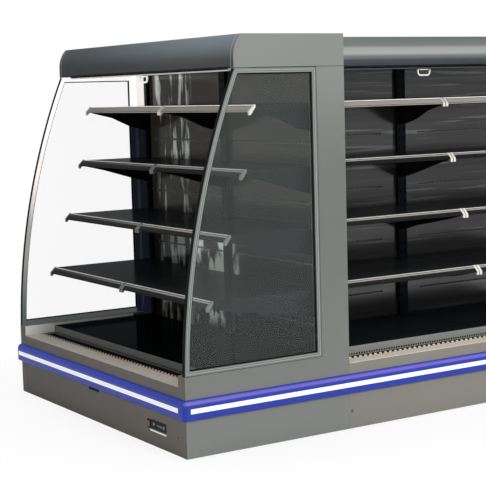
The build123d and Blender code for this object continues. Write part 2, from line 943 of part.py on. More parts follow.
# ---------------------------------------------------------------- bumper
bumper_top = bumper_base + bumper_height
strip_top = strip_base + strip_height


def bumper_section(recessed):
    """Outline outwards from the panel face: a sloped shoulder, a band and a rounded foot."""
    foot = bumper_base + bumper_foot
    shoulder = bumper_top - bumper_shoulder
    groove = [(bumper_reach, strip_base), (bumper_reach - strip_recess, strip_base),
              (bumper_reach - strip_recess, strip_top), (bumper_reach, strip_top)]
    with BuildLine() as outline:
        Polyline((0, bumper_top), (0, bumper_base), (bumper_reach - bumper_foot, bumper_base))
        CenterArc((bumper_reach - bumper_foot, foot), bumper_foot, -90, 90)
        Polyline((bumper_reach, foot), *(groove if recessed else []), (bumper_reach, shoulder))
        TangentArc((bumper_reach, shoulder), (0, bumper_top), tangent=(0, 1))
    make_face(outline.edges())


def outward(corner, along, out):
    """Plane across a rail: x points away from the case, y up."""
    return Plane(corner, x_dir=out, z_dir=along)


rail_front_start = -half_width + corner_leg_left
rail_front_end = half_width - corner_leg_right
rail_side_start = head_front + corner_leg_side
rails = (
    (Vector(rail_front_end, head_front, 0), Vector(-1, 0, 0), Vector(0, -1, 0),
     rail_front_end - rail_front_start),
    (Vector(half_width, rail_side_start, 0), Vector(0, -1, 0), Vector(1, 0, 0),
     rail_side_start - head_back),
    (Vector(half_width, seam, 0), Vector(0, -1, 0), Vector(1, 0, 0), seam - run_end),
    (Vector(-half_width, rail_side_start, 0), Vector(0, 1, 0), Vector(-1, 0, 0),
     head_back - rail_side_start))

with BuildPart() as bumper_rails:
    for corner, along, out, length in rails:
        with BuildSketch(outward(corner, along, out)):
            bumper_section(True)
        extrude(amount=length)
keep("bumper_rails", bumper_rails)

with BuildPart() as bumper_strips:
    for corner, along, out, length in rails:
        with BuildSketch(outward(corner, along, out)):
            rectangle((bumper_reach - strip_recess, strip_base), (bumper_reach, strip_top))
        extrude(amount=length)
keep("bumper_strips", bumper_strips)

with BuildPart() as bumper_corners:
    for side, leg in ((1, corner_leg_right), (-1, corner_leg_left)):
        corner = Vector(side * half_width, head_front, 0)
        with BuildSketch(outward(corner, Vector(-1, 0, 0), Vector(0, -1, 0))):
            bumper_section(False)
        extrude(amount=side * leg)
        beside = outward(corner, Vector(0, -side, 0), Vector(side, 0, 0))
        with BuildSketch(beside):
            bumper_section(False)
        extrude(amount=-corner_leg_side)
        with BuildSketch(beside):
            bumper_section(False)
        revolve(axis=Axis(corner, (0, 0, 1)), revolution_arc=-90 * side)
keep("bumper_corners", bumper_corners)


# ---------------------------------------------------------------- fans, coils and pipes
def fan_places(module):
    return [(start + end) / 2 for start, end in module.bays]


with BuildPart() as fan_plates:
    for module in modules:
        with BuildSketch(section(module, module.start)):
            rectangle((fan_plate_depth, tub_floor),
                      (fan_plate_depth + fan_plate_sheet, fan_plate_top))
        extrude(amount=module.end - module.start)
        with BuildSketch(elevation(module, fan_plate_depth)):
            for place in fan_places(module):
                with Locations((place, fan_height)):
                    Circle(fan_opening)
        extrude(amount=-fan_plate_sheet, mode=Mode.SUBTRACT)
keep("fan_plates", fan_plates)

with BuildPart() as fan_motors:
    for module in modules:
        with BuildSketch(elevation(module, spider_front)):
            for place in fan_places(module):
                with Locations((place, fan_height)):
                    Rectangle(2 * (fan_opening + spider_lap), spider_width)
        extrude(amount=-spider_sheet)
        with BuildSketch(elevation(module, fan_plate_depth)):
            for place in fan_places(module):
                with Locations((place, fan_height)):
                    RegularPolygon(motor_radius, fan_hub_sides)
        extrude(amount=-motor_length)
keep("fan_motors", fan_motors)


def make_fan(module, place):
    """Axial fan: pitched blades on the ten-sided cup of an outer-rotor motor."""
    rear = spider_front - fan_clear
    middle = rear - fan_hub_depth + blade_lead
    hub = Plane(module.corner + module.along * place + module.inward * middle
                + Vector(0, 0, fan_height), x_dir=module.along, z_dir=-module.inward)
    with BuildPart() as fan:
        with BuildSketch(elevation(module, rear)):
            with Locations((place, fan_height)):
                RegularPolygon(fan_hub, fan_hub_sides, rotation=180 / fan_hub_sides)
        extrude(amount=fan_hub_depth)
        for blade in range(blade_count):
            turn = Rot(0, 0, 360 / blade_count * blade) * Rot(blade_pitch, 0, 0)
            pitched = Plane(hub.location * turn).offset(-blade_sheet / 2)
            with BuildSketch(pitched):
                polygon((fan_hub - blade_sink, -blade_root / 2), (blade_reach, -blade_chord / 2),
                        (blade_reach, blade_chord / 2 - blade_nose_width),
                        (blade_reach - blade_nose_length, blade_chord / 2),
                        (fan_hub - blade_sink, blade_root / 2))
            extrude(amount=blade_sheet)
    return fan


for module, names in ((head, ("head_fan_left", "head_fan_right")),
                      (run, ("run_fan_near", "run_fan_far"))):
    for name, place in zip(names, fan_places(module)):
        keep(name, make_fan(module, place))

with BuildPart() as evaporators:
    for module in modules:
        start = module.start + coil_inset
        end = module.end - coil_inset - bend_radius
        with BuildSketch(section(module, start)):
            rectangle((coil_front, coil_base), (coil_rear, coil_top))
        extrude(amount=end - start)
        count = int((end - start) / coil_fin_pitch)
        with BuildSketch(plan(module, coil_top)):
            with Locations(((start + end) / 2, (coil_front + coil_rear) / 2)):
                with GridLocations(coil_fin_pitch, 1, count, 1):
                    Rectangle(coil_fin_gap, coil_rear - coil_front)
        extrude(amount=-coil_fin_depth, mode=Mode.SUBTRACT)
        for place in (start, end - coil_plate):
            with BuildSketch(section(module, place)):
                rectangle((coil_front, tub_floor), (coil_rear, fan_plate_top))
            extrude(amount=coil_plate)
        level = (coil_base + coil_top) / 2
        with BuildSketch(section(module, end)):
            with Locations((coil_rear - 3 * bend_radius, level)):
                Circle(bend_pipe)
        turn = (module.corner + module.along * end + Vector(0, 0, level)
                + module.inward * (coil_rear - 4 * bend_radius))
        revolve(axis=Axis(turn, (0, 0, 1)), revolution_arc=180)
keep("evaporators", evaporators)

with BuildPart() as cooling_pipes:
    for module in modules:
        with BuildSketch(plan(module, tub_base)):
            with Locations((drain_place(module), drain_depth)):
                Rectangle(drain_flange, drain_flange)
        extrude(amount=-drain_flange_sheet)
        with BuildSketch(plan(module, tub_base)):
            with Locations((drain_place(module), drain_depth)):
                Circle(drain_radius)
        extrude(amount=drain_outlet - tub_base)
        with BuildSketch(plan(module, tub_base)):
            with Locations((drain_place(module), drain_depth)):
                Circle(drain_bore)
        extrude(amount=drain_outlet - tub_base, mode=Mode.SUBTRACT)
        with BuildSketch(plan(module, sleeve_outlet)):
            with Locations((sleeve_place(module), sleeve_depth)):
                RegularPolygon(sleeve_radius, sleeve_sides)
        extrude(amount=tub_floor - sleeve_outlet + sleeve_rise)
keep("cooling_pipes", cooling_pipes)

# ---------------------------------------------------------------- controls
control_right = control_left + control_width
key_right = control_right - key_edge
key_low = control_base + (control_height - key_height) / 2
rocker_mid = rocker_left + rocker_bezel_width / 2
rocker_mid_height = rocker_base + rocker_bezel_height / 2

with BuildPart() as controller_case:
    with BuildSketch(elevation(head, 0)):
        rectangle((control_left, control_base), (control_right, control_base + control_height))
    extrude(amount=control_proud)
    with BuildSketch(elevation(head, 0)):
        rectangle((control_left + control_rim, control_base + control_rim),
                  (control_right - control_rim, control_base + control_height - control_rim))
    extrude(amount=-control_depth)
    with BuildSketch(elevation(head, -control_proud)):
        rectangle((key_right - key_width - key_clear, key_low - key_clear),
                  (key_right + key_clear, key_low + key_height + key_clear))
    extrude(amount=-(key_depth + key_proud), mode=Mode.SUBTRACT)
    with BuildSketch(elevation(head, 0)):
        rectangle((rocker_left, rocker_base),
                  (rocker_left + rocker_bezel_width, rocker_base + rocker_bezel_height))
    extrude(amount=control_proud)
    with BuildSketch(elevation(head, 0)):
        rectangle((rocker_left + control_rim, rocker_base + control_rim),
                  (rocker_left + rocker_bezel_width - control_rim,
                   rocker_base + rocker_bezel_height - control_rim))
    extrude(amount=-rocker_bezel_depth)
    with BuildSketch(elevation(head, -control_proud)):
        rectangle((rocker_left + rocker_bezel_wall, rocker_base + rocker_bezel_wall),
                  (rocker_left + rocker_bezel_width - rocker_bezel_wall,
                   rocker_base + rocker_bezel_height - rocker_bezel_wall))
    extrude(amount=-(rocker_bezel_depth - rocker_bezel_wall), mode=Mode.SUBTRACT)
keep("controller_case", controller_case)

with BuildPart() as controller_set_key:
    with BuildSketch(elevation(head, -control_proud - key_proud)):
        rectangle((key_right - key_width, key_low), (key_right, key_low + key_height))
    extrude(amount=-key_depth)
keep("controller_set_key", controller_set_key)

rocker_half_width = rocker_bezel_width / 2 - rocker_bezel_wall - rocker_side_clear
rocker_half_height = rocker_bezel_height / 2 - rocker_bezel_wall - rocker_end_clear
with BuildPart() as power_rocker:
    with BuildSketch(section(head, rocker_mid - rocker_half_width)):
        with BuildLine():
            CenterArc((rocker_pivot_depth, rocker_mid_height), rocker_back_radius, -90, 180)
            Polyline((rocker_pivot_depth, rocker_mid_height + rocker_back_radius),
                     (-rocker_front, rocker_mid_height + rocker_half_height),
                     (-rocker_waist, rocker_mid_height),
                     (-rocker_front, rocker_mid_height - rocker_half_height),
                     (rocker_pivot_depth, rocker_mid_height - rocker_back_radius))
        make_face()
    extrude(amount=2 * rocker_half_width)
keep("power_rocker", power_rocker)

# ---------------------------------------------------------------- output
os.makedirs("parts", exist_ok=True)
for name, piece in pieces.items():
    export_step(piece, f"parts/{name}.step")
print(len(pieces), "nodes")
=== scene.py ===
"""Open multideck display fridge: the head end of an island and the first run behind it.

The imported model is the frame.  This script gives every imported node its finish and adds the
fine pieces: rolled canopies, bumper, price rails, combs, gaskets, controls and fixings.
Places are metres in the shared frame: +Z up, the head opens to -Y and the run to +X.
"""
import json

import bmesh
import bpy
import numpy as np
from mathutils import Matrix, Vector


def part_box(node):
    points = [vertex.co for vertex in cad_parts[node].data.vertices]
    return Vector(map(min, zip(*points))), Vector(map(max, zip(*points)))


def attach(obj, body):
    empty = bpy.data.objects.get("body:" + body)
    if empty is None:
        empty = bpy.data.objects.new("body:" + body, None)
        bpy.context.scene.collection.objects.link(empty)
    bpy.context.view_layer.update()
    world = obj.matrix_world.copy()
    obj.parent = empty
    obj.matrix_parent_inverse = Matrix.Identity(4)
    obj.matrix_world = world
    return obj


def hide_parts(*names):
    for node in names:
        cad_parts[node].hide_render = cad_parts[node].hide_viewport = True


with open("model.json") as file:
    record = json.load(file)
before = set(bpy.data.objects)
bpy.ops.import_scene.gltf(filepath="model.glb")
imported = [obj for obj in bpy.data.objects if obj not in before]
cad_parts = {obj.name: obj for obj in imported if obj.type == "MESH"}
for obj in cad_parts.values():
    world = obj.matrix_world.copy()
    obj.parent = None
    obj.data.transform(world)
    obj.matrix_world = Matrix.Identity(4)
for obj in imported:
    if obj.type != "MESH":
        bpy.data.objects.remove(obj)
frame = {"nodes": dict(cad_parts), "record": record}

bl_info = {
    "name": "Open display fridge",
    "version": (1, 0, 0),
    "blender": (4, 5, 0),
    "location": "3D View > Sidebar > Fridge",
    "description": "Dresses the packed open multideck fridge with its finishes and fine pieces",
    "category": "Add Mesh",
}

UP = np.array([0.0, 0.0, 1.0])
X, Y, Z = 0, 1, 2
MM = 0.001
CASE_BODY = "case"
TIERS = (1, 2, 3, 4)


# ---- places from the frame
def low(node):
    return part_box(node)[0]


def high(node):
    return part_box(node)[1]


class Module:
    """One case of the island: turns (lateral, depth, height) into points of the shared frame."""

    def __init__(self, name, corner, along, inward, span, roof_span, bays):
        self.name = name
        self.corner = np.array(corner, float)
        self.along = np.array(along, float)
        self.inward = np.array(inward, float)
        self.span = span
        self.roof_span = roof_span
        self.bays = bays

    def at(self, lateral, depth, height):
        """Corner plus lateral along the front, depth inwards and height up, as whole arrays."""
        lateral, depth, height = np.broadcast_arrays(lateral, depth, height)
        return (self.corner + lateral[..., None] * self.along
                + depth[..., None] * self.inward + height[..., None] * UP)

    def place(self, point):
        """Lateral and depth of a point of the shared frame."""
        from_corner = np.array(point) - self.corner
        return from_corner @ self.along, from_corner @ self.inward


_, HEAD_FRONT, PANEL_BASE = low("head_front_panel")
HALF_WIDTH, HEAD_BACK, _ = high("right_end_panel")
INNER_HALF = high("head_front_panel").x
CASE_DEPTH = HEAD_BACK - HEAD_FRONT
SEAM = low("run_front_panel").y
RUN_END = high("run_front_panel").y
CANOPY_HALF, _, CASE_HEIGHT = high("head_canopy")
CANOPY_BASE = low("head_canopy").z
CANOPY_FRONT = low("head_canopy").y - HEAD_FRONT
CANOPY_REACH = high("head_canopy").y - HEAD_FRONT
LIP_HEIGHT = high("front_lips").z
DECK_HEIGHT = high("head_deck_left").z
GLASS_BASE = low("right_glass_frame").z
GLASS_TOP = high("right_glass_frame").z
COLUMN_FRONT = high("right_glass_frame").y - HEAD_FRONT
DUCT_FRONT = low("head_duct_panel").y - HEAD_FRONT
RUN_MIDDLE = (SEAM + RUN_END) / 2

head = Module("head", (0, HEAD_FRONT, 0), (1, 0, 0), (0, 1, 0), (-INNER_HALF, INNER_HALF),
              (-CANOPY_HALF, CANOPY_HALF), ((-INNER_HALF, 0.0), (0.0, INNER_HALF)))
run = Module("run", (HALF_WIDTH, 0, 0), (0, 1, 0), (-1, 0, 0), (SEAM, RUN_END),
             (SEAM, RUN_END), ((SEAM, RUN_MIDDLE), (RUN_MIDDLE, RUN_END)))
MODULES = (head, run)


# ---- mesh making
def signed_volume(points, faces):
    """Sum of the tetrahedra from the middle of the points to each face's fan of triangles."""
    corners = points[faces] - points.mean(0)
    first = corners[:, :1]
    return float(np.einsum("fki,fki->", np.broadcast_to(first, corners[:, 1:-1].shape),
                           np.cross(corners[:, 1:-1], corners[:, 2:])))


def grid_faces(rows, columns, closed=False):
    """Quads between neighbouring points of a grid; the columns may join up into a ring."""
    index = np.arange(rows * columns).reshape(rows, columns)
    if closed:
        index = np.hstack((index, index[:, :1]))
    return np.stack((index[:-1, :-1], index[:-1, 1:], index[1:, 1:], index[1:, :-1]),
                    -1).reshape(-1, 4)


class Shape:
    """Closed surfaces gathered one by one, each turned so that its faces point outwards."""

    def __init__(self):
        self.points = []
        self.faces = []
        self.count = 0

    def add(self, points, *face_sets):
        points = np.asarray(points, float).reshape(-1, 3)
        volume = sum(signed_volume(points, faces) for faces in face_sets)
        for faces in face_sets:
            faces = faces if volume > 0 else faces[:, ::-1]
            self.faces += (faces + self.count).tolist()
        self.points.append(points)
        self.count += len(points)
        return self

    def rings(self, rings):
        """Closed rings of points carried along a path, with a flat cap at each end."""
        rings = np.asarray(rings, float)
        stations, corners = rings.shape[:2]
        ends = np.arange(corners)
        return self.add(rings, grid_faces(stations, corners, closed=True),
                        ends[None, ::-1], (ends + (stations - 1) * corners)[None])

    def loop(self, rings):
        """Closed rings of points carried round a closed path."""
        rings = np.asarray(rings, float)
        stations, corners = rings.shape[:2]
        index = grid_faces(stations + 1, corners, closed=True) % (stations * corners)
        return self.add(rings, index)

    def prism(self, module, outline, start, end):
        """A (depth, height) outline drawn out between two lateral places."""
        outline = np.asarray(outline, float)
        lateral = np.array([start, end])[:, None]
        return self.rings(module.at(lateral, outline[None, :, 0], outline[None, :, 1]))

    def boxes(self, module, lateral, depth, height):
        """Boxes from pairs (low, high) of lateral, depth and height, each one or an array."""
        left, right, front, rear, base, top = np.broadcast_arrays(
            *(np.atleast_1d(side) for pair in (lateral, depth, height) for side in pair))
        corners = module.at(np.stack((left, right, right, left) * 2, -1),
                            np.stack((front, front, rear, rear) * 2, -1),
                            np.stack((base,) * 4 + (top,) * 4, -1))
        quads = np.array([[0, 3, 2, 1], [4, 5, 6, 7], [0, 1, 5, 4],
                          [1, 2, 6, 5], [2, 3, 7, 6], [3, 0, 4, 7]])
        faces = quads + 8 * np.arange(len(left))[:, None, None]
        return self.add(corners, faces.reshape(-1, 4))

    def turned(self, centre, axis, profile, steps=32):
        """A (radius, distance) profile turned about an axis, closed at both ends."""
        axis = np.array(axis, float)
        across = np.cross(axis, UP if abs(axis[2]) < 0.9 else np.array([1.0, 0.0, 0.0]))
        across /= np.linalg.norm(across)
        other = np.cross(axis, across)
        angle = np.linspace(0, 2 * np.pi, steps, endpoint=False)
        circle = np.cos(angle)[:, None] * across + np.sin(angle)[:, None] * other
        profile = np.asarray(profile, float)
        return self.rings(np.array(centre, float) + profile[:, 0, None, None] * circle[None]
                          + profile[:, 1, None, None] * axis)

    def piece(self, name, look, slot, body=CASE_BODY, replaces=(), bevel=0.0, smooth=40.0,
              weld=False):
        """Makes the Blender object, with smooth shading up to an angle and softened edges."""
        mesh = bpy.data.meshes.new(name)
        mesh.from_pydata(np.concatenate(self.points).tolist(), [], self.faces)
        if weld:
            work = bmesh.new()
            work.from_mesh(mesh)
            bmesh.ops.remove_doubles(work, verts=work.verts, dist=1e-6)
            bmesh.ops.dissolve_degenerate(work, dist=1e-6, edges=work.edges)
            work.to_mesh(mesh)
            work.free()
        mesh.shade_smooth()
        mesh.set_sharp_from_angle(angle=np.radians(smooth))
        mesh.materials.append(finishes[look])
        piece = bpy.data.objects.new(name, mesh)
        bpy.context.scene.collection.objects.link(piece)
        if bevel:
            edges = piece.modifiers.new("softened_edges", "BEVEL")
            edges.width = bevel
            edges.segments = 2
            edges.limit_method = "ANGLE"
            edges.harden_normals = True
        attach(piece, body)
        if replaces:
            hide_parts(*replaces)
        return piece


def arc(centre, radius, start, end, steps):
    """Points of a circle's arc between two angles in degrees."""
    angle = np.radians(np.linspace(start, end, steps))
    return np.stack((centre[0] + radius * np.cos(angle), centre[1] + radius * np.sin(angle)), -1)


def round_through(first, middle, last):
    """Centre and radius of the circle through three points, from two equal-distance lines."""
    first, middle, last = (np.array(point, float) for point in (first, middle, last))
    lines = 2 * np.array([middle - first, last - first])
    sums = np.array([middle @ middle - first @ first, last @ last - first @ first])
    centre = np.linalg.solve(lines, sums)
    return centre, float(np.linalg.norm(first - centre))


def bar_row(start, end, pitch, gap=0.0, width=None):
    """Both edges of the bars that fill a length at about a pitch, by their gap or width."""
    count = max(1, int(round((end - start) / pitch)))
    step = (end - start) / count
    centres = start + step * (np.arange(count) + 0.5)
    half = (step - gap if width is None else width) / 2
    return centres - half, centres + half


# ---- finishes
def rgb(*screen):
    """A screen colour from 0 to 255, as the linear value that a shader takes."""
    return tuple((value / 255) ** 2.2 for value in screen)


class Nodes:
    """A node tree whose sockets are filled by name, or by number for a key such as _1."""

    def __init__(self, owner):
        owner.use_nodes = True
        self.tree = owner.node_tree

    def put(self, node, **inputs):
        """Sets sockets to plain values, or links them to the outputs of other nodes."""
        for key, value in inputs.items():
            socket = node.inputs[int(key[1:]) if key[0] == "_" else key.replace("_", " ")]
            if isinstance(value, bpy.types.NodeSocket):
                self.tree.links.new(value, socket)
            else:
                socket.default_value = (*value[:3], 1) if socket.type == "RGBA" else value
        return node

    def node(self, kind, operation=None, **inputs):
        made = self.tree.nodes.new("ShaderNode" + kind)
        if operation:
            made.operation = operation
        return self.put(made, **inputs)

    def math(self, operation, first, second):
        return self.node("Math", operation, _0=first, _1=second).outputs[0]

    def eased(self, value, start, end, first=0.0, last=1.0):
        """Goes smoothly from first to last, while a value goes from start to end."""
        made = self.node("MapRange", Value=value, From_Min=start, From_Max=end,
                         To_Min=first, To_Max=last)
        made.interpolation_type = "SMOOTHSTEP"
        return made.outputs[0]

    def mixed(self, factor, first, second):
        """A colour between two others, each a colour or the output of a node."""
        made = self.node("Mix")
        made.data_type = "RGBA"
        return self.put(made, _0=factor, _6=first, _7=second).outputs[2]

    def seen(self):
        """One for the camera's rays, also through clear pieces, and nought for the others."""
        rays = self.node("LightPath").outputs
        return self.math("MAXIMUM", rays["Is Camera Ray"], rays["Is Transmission Ray"])

    def surface_mix(self, output, factor, first, second):
        made = self.node("MixShader", _0=factor, _1=first.outputs[0], _2=second.outputs[0])
        self.put(self.tree.nodes[output], Surface=made.outputs[0])


class Finish(Nodes):
    """A node material: base colour with slow variation, uneven gloss and a fine bump, and where
    asked painted light: painted shades along the piece, painted glints of reflection, painted
    patches of highlight and of shade, and a painted glow.
    """

    def __init__(self, name, colour, roughness, vary, metallic=0.0, scale=6.0, grain=250.0,
                 bump=0.0, stretch=(1, 1, 1), gloss_vary=0.08, shades=(), blend=None, glints=(),
                 patch=None, glow=0.0, **sockets):
        self.material = bpy.data.materials.new(name)
        super().__init__(self.material)
        surface = self.put(self.tree.nodes["Principled BSDF"], Metallic=metallic, **sockets)
        self.place = self.node("TexCoord").outputs["Object"]
        self.axes = self.node("SeparateXYZ", Vector=self.place)
        stretched = self.node("Mapping", Vector=self.place, Scale=stretch).outputs[0]
        strength = self.node("MapRange", Value=self.noise(stretched, scale, 3),
                             To_Min=1 - vary, To_Max=1 + vary).outputs[0]
        # Painted shade and light: the colour made lighter or darker along the piece, where light
        # or shade falls.
        shown = self.node("VectorMath", "SCALE", Scale=self.masked(strength, shades),
                          _0=self.blended(*blend) if blend else colour).outputs[0]
        # Painted glints: bright spots and streaks of painted reflection.
        for tint, size, start, end, *masks in glints:
            spots = self.node("Mapping", Vector=self.place, Scale=size).outputs[0]
            factor = self.node("MapRange", Value=self.noise(spots, 1.0, 4),
                               From_Min=start, From_Max=end).outputs[0]
            shown = self.mixed(self.masked(factor, masks), shown, tint)
        # A painted patch: a painted highlight on some finishes, painted shade on others.
        if patch:
            tint, first, *masks = patch
            shown = self.mixed(self.masked(self.along(*first), masks), shown, tint)
        self.put(surface, Base_Color=shown)
        # A painted glow: the colour also shines as light, though the piece is no lamp.
        if glow:
            self.put(surface, Emission_Color=shown, Emission_Strength=glow)
        gloss = self.node("MapRange", Value=self.noise(stretched, scale * 2.7, 5),
                          To_Min=max(0.0, roughness - gloss_vary),
                          To_Max=min(1.0, roughness + gloss_vary))
        self.put(surface, Roughness=gloss.outputs[0])
        if bump:
            fine = self.node("Bump", Height=self.noise(stretched, grain, 2), Strength=bump,
                             Distance=MM)
            self.put(surface, Normal=fine.outputs[0])

    def along(self, axis, *places_and_values):
        """A value that changes smoothly with one object coordinate."""
        return self.eased(self.axes.outputs[axis], *places_and_values)

    def masked(self, factor, masks):
        for mask in masks:
            factor = self.math("MULTIPLY", factor, self.along(*mask))
        return factor

    def blended(self, axis, stops):
        """Colours that follow one another along an object coordinate."""
        colour = stops[0][1]
        for (start, _), (end, last) in zip(stops, stops[1:]):
            colour = self.mixed(self.along(axis, start, end), colour, last)
        return colour

    def noise(self, place, scale, detail):
        return self.node("TexNoise", Vector=place, Scale=scale, Detail=detail).outputs["Fac"]


finishes = {}


def dress(look, *nodes):
    """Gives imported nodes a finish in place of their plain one."""
    for node in nodes:
        materials = frame["nodes"][node].data.materials
        materials.clear()
        materials.append(finishes[look])


